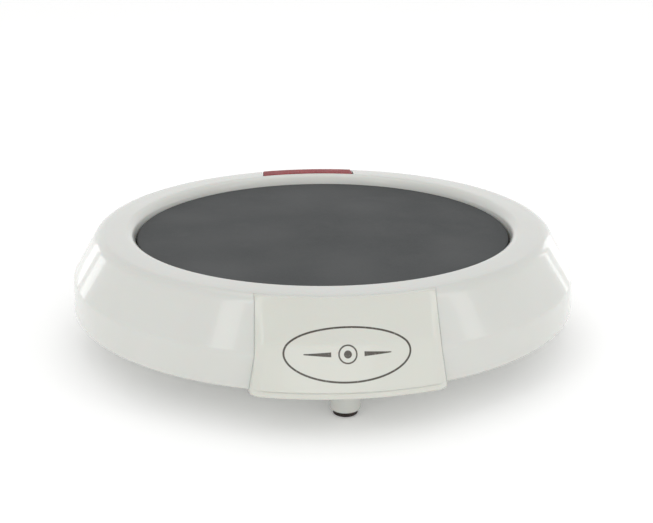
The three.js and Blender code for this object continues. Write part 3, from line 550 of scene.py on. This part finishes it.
def oval_mark(look):
    """An oval outline with a ring, a dot and two bars in it, printed on the panel. 1 where there is ink."""
    x = look.plus(look.axis("X"), -MARK_CENTRE[0])
    z = look.axis("Z")
    above_knee = look.math("MAXIMUM", look.minus(z, PANEL_KNEE[1]), 0.0)
    up_the_face = look.plus(look.times(z, FACE_RISE), look.times(above_knee, UPPER_FACE_RISE))
    y = look.minus(up_the_face, MARK_CENTRE[1])

    def oval_distance(half_width, half_height):
        """About how far a place is outside this oval, in millimetres."""
        across = look.math("DIVIDE", x, half_width)
        up = look.math("DIVIDE", y, half_height)
        squares = look.plus(look.times(across, across), look.times(up, up))
        slope_x = look.math("DIVIDE", across, half_width)
        slope_y = look.math("DIVIDE", up, half_height)
        slope = look.math("SQRT", look.plus(look.times(slope_x, slope_x), look.times(slope_y, slope_y)))
        return look.math("DIVIDE", look.minus(squares, 1.0), look.plus(look.times(slope, 2.0), 0.001))

    def line(distance, width):
        edge = width / 2
        return look.spread(look.math("ABSOLUTE", distance), edge - MARK_SOFT, edge + MARK_SOFT, 1.0, 0.0)

    def filled(distance):
        return look.spread(distance, -MARK_SOFT, MARK_SOFT, 1.0, 0.0)

    rim = line(oval_distance(*MARK_HALF), 0.45)
    ring = line(oval_distance(2.0, 2.0), 0.36)
    dot = filled(oval_distance(0.9, 0.9))
    reach = look.math("ABSOLUTE", x)
    start, end = MARK_BAR
    past_start = look.spread(reach, start - MARK_SOFT, start + MARK_SOFT)
    before_end = look.spread(reach, end - MARK_SOFT, end + MARK_SOFT, 1.0, 0.0)
    bar_half = look.spread(reach, start + MARK_SOFT, end + MARK_SOFT, *MARK_BAR_HALF)
    within = filled(look.minus(look.math("ABSOLUTE", y), bar_half))
    bars = look.times(look.times(past_start, before_end), within)
    ink = look.math("MAXIMUM", look.math("MAXIMUM", rim, ring), look.math("MAXIMUM", dot, bars))
    worn = look.spread(look.noise(0.5, 3), 0.3, 0.42, 0.8, 1.0)
    front = look.spread(look.axis("Y"), -61.0, -60.0, 1.0, 0.0)
    return look.times(look.times(ink, worn), front)


def plate_finish(name):
    """Dark non-stick coating: fine grain, cloudy tone, and a few dull smears."""
    look = Finish(name)
    color = look.clouded((0.05, 0.053, 0.054), (0.06, 0.063, 0.064), 22, 4, 0.6)
    grain = look.spread(look.noise(0.35, 2), 0.35, 0.65)
    color = look.mix(look.times(grain, 0.35), color, (0.075, 0.079, 0.08))
    flecks = look.spread(look.cells(1.1), 0.07, 0.11, 0.4, 0.0)
    flecks = look.times(flecks, look.spread(look.noise(6), 0.5, 0.62))
    color = look.mix(flecks, color, (0.11, 0.115, 0.12))
    smears = look.spread(look.noise(18, 5, 0.6), 0.45, 0.7)
    color = look.mix(look.times(smears, 0.2), color, (0.085, 0.088, 0.088))
    roughness = look.spread(look.noise(9, 4, 0.6), 0.3, 0.7, 0.56, 0.64)
    roughness = look.minus(roughness, look.times(smears, 0.08))
    normal = look.bump(look.noise(0.5, 3, 0.6), 0.02, 0.6, look.soften_edges(0.3))
    normal = look.bump(look.noise(30, 2), 0.05, 0.3, normal)
    return look.finish(color, roughness, normal, ior=1.42, specular_ior_level=0.2)


def red_finish(name):
    """Dark translucent red, half gloss, with moulding haze inside, fine rub marks, and painted shade in its
    gaps.
    """
    look = Finish(name)
    color = look.clouded((0.225, 0.016, 0.022), (0.29, 0.026, 0.034), 5, 3)
    # Painted shade: the red turns darker in gaps and corners, where ambient occlusion is low
    painted_gap_shade = look.spread(look.open_air(0.8), 0.3, 0.85, 0.35, 0.0)
    color = look.mix(painted_gap_shade, color, (0.18, 0.025, 0.03))
    roughness = look.spread(look.noise(2.5, 4, 0.6), 0.35, 0.7, 0.2, 0.32)
    normal = look.bump(look.noise(0.9, 2), 0.01, 0.4, look.soften_edges(0.25))
    return look.finish(
        color,
        roughness,
        normal,
        ior=1.46,
        specular_ior_level=0.03,
        transmission_weight=0.1,
        subsurface_weight=0.15,
        subsurface_scale=0.001,
    )


def rubber_finish(name, dark, light, rough):
    """Dull rubber with paler scuffs."""
    look = Finish(name)
    color = look.clouded(dark, light, 3, 4)
    scuffs = look.spread(look.noise(1.1, 4, 0.7), 0.58, 0.7)
    scuffed = tuple(min(1.0, channel * 2.4 + 0.02) for channel in light)
    color = look.mix(look.times(scuffs, 0.4), color, scuffed)
    roughness = look.spread(look.noise(2, 3), 0.3, 0.7, rough - 0.08, rough + 0.08)
    normal = look.bump(look.noise(0.3, 3, 0.6), 0.03, 0.6, look.soften_edges(0.3))
    return look.finish(color, roughness, normal, ior=1.48, specular_ior_level=0.35)


def plain_plastic(name, dark, light, rough):
    """Plain moulded or coated surface with a fine texture."""
    look = Finish(name)
    color = look.clouded(dark, light, 4, 4)
    roughness = look.spread(look.noise(2.2, 4, 0.6), 0.3, 0.7, rough - 0.07, rough + 0.09)
    normal = look.bump(look.noise(0.35, 3), 0.02, 0.45, look.soften_edges(0.15))
    return look.finish(color, roughness, normal, ior=1.5)


def metal_finish(name, dark, light, rough, grain, tarnish=(0.2, 0.17, 0.13)):
    """Bare or plated metal with fine drawn grain, cloudy plating and a little tarnish in corners."""
    look = Finish(name)
    color = look.clouded(dark, light, 3.5, 5, 0.6)
    corners = look.spread(look.open_air(1.0), 0.3, 0.85, 0.5, 0.0)
    stained = look.times(corners, look.spread(look.noise(1.8, 4), 0.35, 0.65))
    color = look.mix(stained, color, tarnish)
    drawn = look.noise(0.4, 3, 0.6, grain)
    roughness = look.spread(drawn, 0.3, 0.7, rough - 0.08, rough + 0.1)
    roughness = look.plus(roughness, look.times(stained, 0.25))
    normal = look.bump(drawn, 0.012, 0.5, look.soften_edges(0.12))
    return look.finish(color, roughness, normal, metallic=1.0)


def woven_finish(name, dark, light, pitch):
    """Braided or pressed glass fibre: fine crossing threads with loose tone changes."""
    look = Finish(name)
    threads = []
    for direction in ("X", "Y", "Z"):
        wave = look.node("ShaderNodeTexWave", wave_type="BANDS", bands_direction=direction)
        look.link(look.place, wave.inputs["Vector"])
        wave.inputs["Scale"].default_value = 0.32 / (pitch * MM)
        wave.inputs["Distortion"].default_value = 1.5
        wave.inputs["Detail"].default_value = 2.0
        threads.append(wave.outputs["Fac"])
    crossed = look.math("MAXIMUM", threads[0], threads[1])
    weave = look.times(crossed, look.spread(threads[2], 0.0, 1.0, 0.55, 1.0))
    tone = look.times(weave, look.spread(look.noise(4, 4), 0.3, 0.7, 0.6, 1.0))
    color = look.mix(tone, dark, light)
    normal = look.bump(weave, 0.12, 0.7)
    return look.finish(color, 0.85, normal, sheen_weight=0.3, sheen_roughness=0.5)


def flake_finish(name, dark, light):
    """Mica board: overlapping pressed flakes."""
    look = Finish(name)
    flakes = look.cells(3.5, "Color")
    tone = look.node("ShaderNodeSeparateColor")
    look.link(flakes, tone.inputs["Color"])
    color = look.mix(tone.outputs["Red"], dark, light)
    roughness = look.spread(tone.outputs["Green"], 0.0, 1.0, 0.3, 0.5)
    normal = look.bump(tone.outputs["Blue"], 0.03, 0.5)
    return look.finish(color, roughness, normal)


def lamp_finish(name):
    """Clear lamp glass with a warm haze."""
    look = Finish(name)
    haze = look.spread(look.noise(2, 4), 0.4, 0.7, 0.03, 0.12)
    warmth = look.spread(look.noise(3), 0.3, 0.7)
    color = look.mix(warmth, (0.95, 0.8, 0.66), (0.9, 0.7, 0.5))
    normal = look.bump(look.noise(1.5), 0.01, 0.3)
    return look.finish(color, haze, normal, ior=1.47, transmission_weight=0.85)


# For each slot: the function that makes its material, and what that function is given after the name
FINISHES = {
    # For the moulded plastics, the third colour is the painted shade in their seams
    "white_plastic": (moulded_body, (0.592, 0.598, 0.565), (0.575, 0.582, 0.548), (0.42, 0.41, 0.37), 0.17),
    "cream_plastic": (
        moulded_body, (0.594, 0.6, 0.547), (0.578, 0.584, 0.53), (0.4, 0.39, 0.34), 0.19, oval_mark
    ),
    "plate_coating": (plate_finish,),
    "silicone": (rubber_finish, (0.42, 0.42, 0.39), (0.5, 0.5, 0.47), 0.7),
    "red_lens": (red_finish,),
    "black_rubber": (rubber_finish, (0.018, 0.013, 0.011), (0.03, 0.022, 0.019), 0.75),
    "black_plastic": (plain_plastic, (0.016, 0.016, 0.018), (0.028, 0.029, 0.031), 0.45),
    "zinc_steel": (metal_finish, (0.46, 0.47, 0.49), (0.6, 0.6, 0.6), 0.32, (1.0, 1.0, 5.0)),
    "galvanised_sheet": (metal_finish, (0.36, 0.38, 0.39), (0.53, 0.55, 0.56), 0.4, (1.0, 4.0, 1.0)),
    "brass": (metal_finish, (0.5, 0.35, 0.12), (0.68, 0.5, 0.2), 0.3, (6.0, 1.0, 1.0), (0.16, 0.1, 0.05)),
    "mica": (flake_finish, (0.32, 0.21, 0.09), (0.5, 0.37, 0.19)),
    "nichrome": (metal_finish, (0.15, 0.14, 0.13), (0.26, 0.24, 0.22), 0.4, (1.0, 3.0, 1.0)),
    "ceramic_fibre": (woven_finish, (0.66, 0.62, 0.54), (0.82, 0.8, 0.73), 1.6),
    "label_film": (plain_plastic, (0.55, 0.56, 0.58), (0.66, 0.67, 0.69), 0.35),
    "lamp_glass": (lamp_finish,),
    "resistor_body": (plain_plastic, (0.42, 0.3, 0.17), (0.6, 0.46, 0.28), 0.35),
    "glass_sleeve": (woven_finish, (0.5, 0.45, 0.34), (0.74, 0.7, 0.58), 0.7),
}
materials = {slot: make(slot, *settings) for slot, (make, *settings) in FINISHES.items()}


def dressed(obj, slot):
    """Gives a new piece one of the record's slots and that slot's material."""
    obj.data.materials.clear()
    obj.data.materials.append(materials[slot])
    return obj


for part in frame["record"]["subparts"]:
    node = frame["nodes"][part["node"]]
    for index in range(len(node.material_slots)):
        node.material_slots[index].material = materials[part["material_slot"]]

# ---------------------------------------------------------------- housing


def panel_half_width(y, z, margin):
    """Half the panel's width where its drafted sides pass through (y, z)."""
    at_y, at_z = PANEL_WIDTH_AT
    return PANEL_HALF_WIDTH + (at_z - z) * PANEL_FLARE + (y - at_y) * PANEL_DRAFT + margin


def panel_wedge(name, margin):
    """A block between the panel's side planes, widened by margin. It runs well past the panel otherwise."""
    corners = []
    for z in (5.0, 35.0):
        for y in (-80.0, -52.0):
            half = panel_half_width(y, z, margin)
            corners += [(-half, y, z), (half, y, z)]
    faces = [(0, 1, 3, 2), (4, 5, 7, 6), (0, 1, 5, 4), (2, 3, 7, 6), (0, 2, 6, 4), (1, 3, 7, 5)]
    return new_object(name, corners, faces)


def panel_seat():
    """The shallow recess that the panel lies in, as a solid to cut away."""
    outline = [
        (SKIRT_R - SEAT_DEPTH, SKIRT_BOTTOM - 2),
        (SKIRT_R + 6, SKIRT_BOTTOM - 2),
        (SKIRT_R + 6, SHOULDER[1] + 2),
        (PANEL_INNER_R - GAP, SHOULDER[1] + 2),
        (PANEL_INNER_R - GAP, PANEL_TOP[1] - SEAT_DEPTH - GAP / 2),
        on_cone(SEAT_DOWN, -SEAT_DEPTH),
        sunk_knee(SEAT_DEPTH),
    ]
    return boolean(lathe("panel_seat", outline), panel_wedge("panel_wedge", GAP), "INTERSECT")


def shell_face():
    """The outer line of the housing, from below its skirt to the ring inside the panel's top."""
    low = 5
    below = SKIRT_R + (SKIRT_R - KNEE[0]) * low / (KNEE[1] - SKIRT_BOTTOM)
    return rounded(
        [
            (below, SKIRT_BOTTOM - low),
            (*KNEE, 3),
            (*SHOULDER, SHOULDER_RADIUS),
            (PADDLE_INNER_R, SHOULDER[1]),
        ]
    )


def nearest_on(line, point):
    """The point of an open line that is nearest to this one."""
    best = Vector(line[0])
    for start, end in zip(line, line[1:]):
        start, end = Vector(start), Vector(end)
        share = (point - start).dot(end - start) / (end - start).length_squared
        found = start.lerp(end, min(1.0, max(0.0, share)))
        if (point - found).length < (point - best).length:
            best = found
    return best


def paddle_window():
    """The space that the paddle moves in, cut through the shoulder and the upper cone."""
    reach = PADDLE_REACH + PADDLE_END_GAP
    outline = [
        on_cone(reach, 4),
        on_cone(reach, -4),
        (58.4, 24.0),
        (50.0, 24.0),
        (50.0, SHOULDER[1] + 3),
        (SHOULDER[0] + 3, SHOULDER[1] + 3),
    ]
    half = PADDLE_HALF + GAP
    kept_r = PADDLE_INNER_R - GAP
    window = prism("window", outline, -half, half, lambda y, z, x: (x, y, z))
    kept = lathe("kept", [(0, 0), (kept_r, 0), (kept_r, 40), (0, 40)])
    return boolean(window, kept, "DIFFERENCE")


def gland_notch():
    """A round hole through the skirt that is open below."""
    radius = GLAND_BARREL_R + GAP
    low = SKIRT_BOTTOM - 1 - GLAND_Z
    outline = [on_circle(radius, angle) for angle in range(0, 181, 6)]
    outline += [(-radius, low), (radius, low)]
    return prism("notch", outline, *NOTCH_REACH, lambda x, z, y: (x, y, GLAND_Z + z))


def housing():
    """The upper moulding, with its screw bosses and the openings for the panel, the paddle and the gland."""
    inner_r = SKIRT_R - WALL - GAP
    outline = subdivided(
        rounded(
            [
                (inner_r, SKIRT_BOTTOM, 0.3),
                (SKIRT_R, SKIRT_BOTTOM, 0.6),
                (*KNEE, 3),
                (*SHOULDER, SHOULDER_RADIUS),
                (OPENING_R, SHOULDER[1], OPENING_ROUND),
                (COLLAR_INNER_R, COLLAR_BOTTOM, 0.2),
                (COLLAR_R, COLLAR_BOTTOM),
                (COLLAR_R, SHOULDER[1] - WALL, 0.8),
                sunk_shoulder(WALL),
                (inner_r, sunk_knee(WALL)[1]),
            ]
        ),
        3.0,
    )
    shell = lathe("housing_moulding", outline)
    ring_underside = SHOULDER[1] - WALL
    bosses = posts("boss", BOSS_CIRCLE, BOSS_ANGLES, BOSS_R, BOSS_END, ring_underside + BOSS_ROOT)
    bosses += posts("boss", BASE_SCREW_CIRCLE, BASE_SCREW_ANGLES, BASE_BOSS_R, BASE_BOSS_END, BASE_BOSS_ROOT)
    shell = boolean(shell, merged(*bosses), "UNION")
    pilots = posts("pilot", BOSS_CIRCLE, BOSS_ANGLES, PILOT_R, PILOT_START, PILOT_END, PILOT_SIDES)
    pilots += posts(
        "pilot", BASE_SCREW_CIRCLE, BASE_SCREW_ANGLES,
        BASE_PILOT_R, BASE_PILOT_START, BASE_PILOT_END, PILOT_SIDES,
    )
    shell = boolean(shell, merged(panel_seat(), paddle_window(), gland_notch(), *pilots), "DIFFERENCE")
    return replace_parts(dressed(smooth(shell), "white_plastic"), "housing_shell")


def front_panel():
    """The raised panel. Its sides fall in soft bands down to the face of the housing."""
    inner_end = PANEL_INNER_R - GAP - CLOSED
    back_depth = SEAT_DEPTH - GAP
    bottom_r, bottom_z = PANEL_BOTTOM
    face = shell_face()
    outline = subdivided(
        rounded(
            [
                (SKIRT_R - back_depth, bottom_z),
                (bottom_r, bottom_z, 0.5),
                (bottom_r - 0.05, bottom_z + 1.4),  # a shallow groove above the lower edge
                (bottom_r - 0.25, bottom_z + 1.55),
                (bottom_r - 0.15, bottom_z + 1.75),
                (*PANEL_KNEE, 8),
                (*PANEL_TOP, 0.6),
                (inner_end, PANEL_TOP[1]),
                (inner_end, PANEL_TOP[1] - SEAT_DEPTH),
                on_cone(SEAT_DOWN, -back_depth),
                sunk_knee(back_depth),
            ]
        ),
        1.5,
    )

    def half_angle(r, z):
        """The side's angle from the middle. Its width depends on y, which depends on the angle in turn."""
        angle = 0.3
        for _ in range(20):
            angle = math.asin(panel_half_width(-r * math.cos(angle), z, PANEL_SPREAD) / r)
        return angle

    def sunk(point, inward):
        """The front goes down to the face of the housing, and the back stays where it is."""
        found = nearest_on(face, point)
        below = (found - HOUSING_MIDDLE).length - (point - HOUSING_MIDDLE).length
        return point if below > back_depth / 2 else found - inward * CLOSED

    panel = sector("panel_moulding", outline, half_angle, sloped_edge(PANEL_EDGE, PANEL_EDGE_FALL), sunk, 270)
    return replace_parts(dressed(smooth(panel, 35), "cream_plastic"), "front_panel")


def base_cover():
    """The bottom cover, with four foot stems, screw recesses, vent slots and a notch for the gland."""
    low, high = COVER_BOTTOM - 1, COVER_TOP + 1
    profile = [(0, COVER_BOTTOM), (COVER_R, COVER_BOTTOM, 0.4), (COVER_R, COVER_TOP, 0.3), (0, COVER_TOP)]
    cover = lathe("cover_moulding", subdivided(rounded(profile), 12.0), 144)
    stem_top = COVER_BOTTOM + 1
    stem = rounded(
        [(0, FOOT_STEM_END), (FOOT_STEM_R, FOOT_STEM_END, 0.9), (FOOT_STEM_R + 0.15, stem_top), (0, stem_top)]
    )
    feet = [on_circle(FOOT_CIRCLE, angle) for angle in FOOT_ANGLES.values()]
    stems = [placed(lathe("stem", stem, 64), *foot) for foot in feet]
    cover = boolean(cover, merged(*stems), "UNION")
    cuts = posts("socket", FOOT_CIRCLE, FOOT_ANGLES.values(), FOOT_SOCKET_R, 0, FOOT_SOCKET_END, 24)
    hole_r, recess_r, seat = BASE_SCREW_HOLE_R, BASE_SCREW_RECESS[0], COVER_BOTTOM + BASE_SCREW_RECESS[1]
    recess = [(0, low), (recess_r, low), (recess_r, seat), (hole_r, seat), (hole_r, high), (0, high)]
    for angle in BASE_SCREW_ANGLES:
        cuts.append(placed(lathe("recess", recess, 40), *on_circle(BASE_SCREW_CIRCLE, angle)))
    end = [on_circle(VENT_HALF, angle) for angle in range(-90, 91, 15)]
    near, far = VENT_X[0] + VENT_HALF, VENT_X[1] - VENT_HALF
    slot = [(far + a, b) for a, b in end] + [(near - a, -b) for a, b in end]
    for side in (-1, 1):
        for k in range(-3, 4):
            cuts.append(
                prism("slot", slot, low, high, lambda x, y, z, s=side, k=k: (s * x, y + VENT_PITCH * k, z))
            )
    half, inner, outer = COVER_NOTCH_HALF, GLAND_INNER_Y - 0.5, SKIRT_R
    notch = [(-half, inner), (half, inner), (half, outer), (-half, outer)]
    cuts.append(prism("notch", notch, low, high, lambda x, y, z: (x, y, z)))
    cover = boolean(cover, merged(*cuts), "DIFFERENCE")
    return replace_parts(dressed(smooth(cover), "white_plastic"), "base_cover")


def foot_pads():
    """Rubber pads that are pushed up into the foot stems."""
    outline = rounded(
        [
            (0, 0),
            (PAD_R, 0, 0.35),
            (PAD_R, PAD_THICKNESS, 0.15),
            (PAD_STUD_R, PAD_THICKNESS),
            (PAD_STUD_R, PAD_STUD_END),
            (0, PAD_STUD_END),
        ]
    )
    for side, angle in FOOT_ANGLES.items():
        pad = placed(lathe(f"pad_{side}", outline, 64), *on_circle(FOOT_CIRCLE, angle))
        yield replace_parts(dressed(smooth(pad, 40), "black_rubber"), f"foot_pad_{side}")


def hot_plate():
    """A pressed metal pan, open below, with a flange under the collar and a welded centre stud."""
    underside = PLATE_TOP - PLATE_SHEET
    wall_inner = PLATE_R - PLATE_SHEET
    flange_bottom = FLANGE_TOP - PLATE_SHEET
    outline = subdivided(
        rounded(
            [
                (0, STUD_END),
                (STUD_R, STUD_END, 0.3),
                (STUD_R, underside),
                (wall_inner, underside, 0.6),
                (wall_inner, flange_bottom),
                (FLANGE_R, flange_bottom),
                (FLANGE_R, FLANGE_TOP),
                (PLATE_R, FLANGE_TOP, 0.6),
                (PLATE_R, PLATE_TOP, 0.45),
                (0, PLATE_TOP),
            ]
        ),
        6.0,
    )
    plate = lathe("plate_pressing", outline)
    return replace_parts(dressed(smooth(plate, 40), "plate_coating"), "hot_plate")


def cord_gland():
    """The bushing in the skirt, turned about Y, with two shallow grip rings on its nose."""
    outline = rounded(
        [
            (GLAND_BORE_R, GLAND_INNER_Y, 0.3),
            (GLAND_FLANGE_R, GLAND_INNER_Y, 0.2),
            (GLAND_FLANGE_R, GLAND_INNER_Y + 1.2),
            (GLAND_BARREL_R, GLAND_INNER_Y + 1.2),
            (GLAND_BARREL_R, GLAND_SHOULDER_Y),
            (GLAND_FLANGE_R, GLAND_SHOULDER_Y, 0.1),
            (GLAND_FLANGE_R, GLAND_SHOULDER_Y + 0.8, 0.15),
            (3.95, 71.4, 0.1),
            (4.12, 71.75, 0.15),
            (3.85, 72.1, 0.1),
            (3.98, 72.4, 0.15),
            (GLAND_BARREL_R, GLAND_OUTER_Y, 0.3),
            (GLAND_BORE_R, GLAND_OUTER_Y, 0.3),
        ],
        15.0,
    )
    gland = lathe("gland_bushing", outline, 72)
    turn = Matrix.Translation((0, 0, GLAND_Z * MM)) @ Matrix.Rotation(math.radians(-90), 4, "X")
    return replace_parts(dressed(smooth(moved(gland, turn), 40), "white_plastic"), "cord_gland")


# ---------------------------------------------------------------- switch


def about_pivot(radius, degrees):
    """A point (y, z) on a circle about the paddle's hinge."""
    out, up = on_circle(radius, degrees)
    return PIVOT[0] + out, PIVOT[1] + up


def paddle_sector(name, outline, half, edge):
    """Part of a ring about the Z axis at the back, with flat ends at x = half and x = -half."""
    return sector(
        name,
        outline,
        lambda r, z: math.asin(half / r),
        round_edge(edge),
        lambda point, inward: point + inward * edge,
        90,
        48,
    )


def paddle_cap():
    """The curved cap. Its lower end stands proud of the cone, and its top is level with the ring."""
    shoulder = Vector((SHOULDER[0] + PADDLE_RISE, PADDLE_TOP))
    tip = Vector(on_cone(PADDLE_REACH, PADDLE_END_PROUD))
    down = (tip - shoulder).normalized()
    inner_tip = tip + Vector((down.y, -down.x)) * PADDLE_WALL
    inner_top = PADDLE_TOP - PADDLE_WALL
    inner_shoulder = inner_tip.x + down.x / down.y * (inner_top - inner_tip.y)
    outline = subdivided(
        rounded(
            [
                (PADDLE_INNER_R, inner_top, 0.2),
                (inner_shoulder, inner_top, 2.5),
                (*inner_tip, 0.2),
                (*tip, 0.6),
                (*shoulder, SHOULDER_RADIUS),
                (PADDLE_INNER_R, PADDLE_TOP, 0.5),
            ]
        ),
        1.0,
    )
    return paddle_sector("paddle_cap", outline, PADDLE_HALF, PADDLE_EDGE)


def paddle_skirt():
    """The thin wall about the hinge that fills the slit below the cap."""
    angles = (-14, -20, -26, -32)
    outline = [about_pivot(PADDLE_SKIRT_R, angle) for angle in angles]
    outline += [about_pivot(PADDLE_SKIRT_R - PADDLE_SKIRT_WALL, angle) for angle in reversed(angles)]
    return paddle_sector("skirt", outline, PADDLE_HALF - 0.5, 0.1)


def paddle_end(side):
    """The wall at one end of the paddle, with the hole for its pin."""
    outline = [
        (PADDLE_INNER_R + 0.9, PADDLE_TOP - 1),
        (57.4, 27.2),
        (58.2, 23.0),
        (63.2, 22.9),
        (64.6, 23.7),
        (61.6, PADDLE_TOP - 1.6),
        (60.6, PADDLE_TOP - 1),
    ]
    low, high = sorted((side * PADDLE_END_INNER_X, side * (PADDLE_HALF - GAP)))
    wall = prism("wall", outline, low, high, lambda y, z, x: (x, y, z))
    bore = [about_pivot(PIN_R + GAP, angle) for angle in range(0, 360, 15)]
    return boolean(wall, prism("hole", bore, low - 1, high + 1, lambda y, z, x: (x, y, z)), "DIFFERENCE")


def paddle_barrel():
    """The tube under the cap that the plunger sits in. It leans with the paddle."""
    low, high = BARREL_HEIGHTS
    outline = [(BARREL_BORE_R, low), (BARREL_R, low), (BARREL_R, high), (BARREL_BORE_R, high)]
    barrel = placed(lathe("barrel", outline, 32), BARREL_X, PIVOT[0])
    pivot = Matrix.Translation((0, PIVOT[0] * MM, PIVOT[1] * MM))
    return moved(barrel, pivot @ Matrix.Rotation(math.radians(BARREL_LEAN), 4, "X") @ pivot.inverted())


def switch_paddle():
    paddle = merged(paddle_cap(), paddle_skirt(), paddle_end(-1), paddle_end(1), paddle_barrel())
    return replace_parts(dressed(smooth(paddle, 35), "red_lens"), "switch_paddle")


for piece in (housing(), front_panel(), base_cover(), *foot_pads(), hot_plate(), cord_gland()):
    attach(piece, "base")
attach(switch_paddle(), "paddle")

# ---------------------------------------------------------------- stage

CAMERA_FROM = Vector((-25.93, -290.49, 116.07)) * MM
CAMERA_AIM = Vector((0.0, 0.0, 4.0)) * MM
CAMERA_YAW, CAMERA_PITCH, CAMERA_ROLL = (math.radians(angle) for angle in (0.19, 2.47, -0.12))
CAMERA_LENS = 59.24
LIGHTS_AIM = (0, 0, 0.02)
FLOOR_HALF = 8.0


def add_camera():
    """Looks at the aim, then turns by the small yaw, pitch and roll."""
    forward = (CAMERA_AIM - CAMERA_FROM).normalized()
    right = forward.cross(Vector((0, 0, 1))).normalized()
    up = right.cross(forward)
    ahead = (
        forward * math.cos(CAMERA_YAW) * math.cos(CAMERA_PITCH)
        + right * math.sin(CAMERA_YAW) * math.cos(CAMERA_PITCH)
        + up * math.sin(CAMERA_PITCH)
    )
    right = ahead.cross(up).normalized()
    up = right.cross(ahead)
    side = right * math.cos(CAMERA_ROLL) + up * math.sin(CAMERA_ROLL)
    top = up * math.cos(CAMERA_ROLL) - right * math.sin(CAMERA_ROLL)
    data = bpy.data.cameras.new("camera")
    data.lens = CAMERA_LENS
    data.sensor_width = 36
    data.clip_start = 0.01
    camera = bpy.data.objects.new("camera", data)
    bpy.context.scene.collection.objects.link(camera)
    axes = Matrix((side, top, -ahead)).transposed()
    camera.matrix_world = Matrix.Translation(CAMERA_FROM) @ axes.to_4x4()
    bpy.context.scene.camera = camera


def add_light(name, place, aim, size, watts):
    """An area light, in metres, that the camera doesn't see."""
    data = bpy.data.lights.new(name, "AREA")
    data.shape = "RECTANGLE"
    data.size, data.size_y = size
    data.energy = watts
    light = bpy.data.objects.new(name, data)
    light.location = place
    light.rotation_euler = (Vector(aim) - Vector(place)).to_track_quat("-Z", "Y").to_euler()
    light.visible_camera = False
    bpy.context.scene.collection.objects.link(light)


def add_rim_strip(name, azimuths, distance, radiance):
    """An upright strip light on the floor behind the object, that its glossy sides mirror."""
    height = 0.07
    middle = height / 2
    width = distance * math.radians(azimuths[1] - azimuths[0])
    x, y = on_circle(distance, sum(azimuths) / 2)
    watts = radiance * math.pi * width * height
    add_light(name, (x, y, middle), (0, 0, middle), (width, height), watts)


def add_floor():
    """A wide pale floor that glows a little, so that it stays as pale as the surround."""
    corners = [(x * FLOOR_HALF, y * FLOOR_HALF, 0) for x, y in ((-1, -1), (1, -1), (1, 1), (-1, 1))]
    mesh = bpy.data.meshes.new("floor")
    mesh.from_pydata(corners, [], [(0, 1, 2, 3)])
    floor = bpy.data.objects.new("floor", mesh)
    bpy.context.scene.collection.objects.link(floor)
    look = Finish("floor")
    color = look.mix(look.noise(400, 2), (0.93, 0.93, 0.925), (0.95, 0.95, 0.945))
    mesh.materials.append(look.finish(color, 0.7, emission_strength=0.13))


def add_world():
    """A soft surround, brighter near the horizon and in front, so that light reaches into the opening."""
    world = bpy.data.worlds.new("studio")
    world.use_nodes = True
    tree = world.node_tree
    way = tree.nodes.new("ShaderNodeTexCoord")
    split = tree.nodes.new("ShaderNodeSeparateXYZ")
    tree.links.new(way.outputs["Generated"], split.inputs["Vector"])

    def spread(value, low, high, out_low, out_high):
        made = tree.nodes.new("ShaderNodeMapRange")
        made.interpolation_type = "SMOOTHSTEP"
        tree.links.new(value, made.inputs["Value"])
        return set_range(made, low, high, out_low, out_high)

    product = tree.nodes.new("ShaderNodeMath")
    product.operation = "MULTIPLY"
    tree.links.new(spread(split.outputs["Z"], 0.1, 0.7, 1.15, 0.88), product.inputs[0])
    tree.links.new(spread(split.outputs["Y"], -1.0, 1.0, 1.05, 0.88), product.inputs[1])
    background = tree.nodes["Background"]
    background.inputs["Color"].default_value = (1.0, 1.0, 1.0, 1.0)
    tree.links.new(product.outputs[0], background.inputs["Strength"])
    bpy.context.scene.world = world


add_camera()
add_floor()
add_world()
add_light("key", (-0.5, -0.42, 0.6), LIGHTS_AIM, (0.14, 0.6), 0.36)
add_light("fill", (0.6, -0.3, 0.5), LIGHTS_AIM, (0.12, 0.6), 0.27)
add_light("top", (0.0, 0.25, 0.9), LIGHTS_AIM, (0.7, 0.5), 0.6)
add_light("front", (-0.05, -0.9, 0.35), LIGHTS_AIM, (0.6, 0.4), 0.4)
add_rim_strip("rim_left_outer", (132.5, 139.5), 0.26, 1.25)
add_rim_strip("rim_left_inner", (144.0, 151.0), 0.26, 1.15)
add_rim_strip("rim_right_outer", (25.0, 35.0), 0.16, 1.05)
add_rim_strip("rim_right_inner", (16.5, 19.5), 0.16, 1.2)
bpy.context.scene.view_settings.view_transform = "Standard"
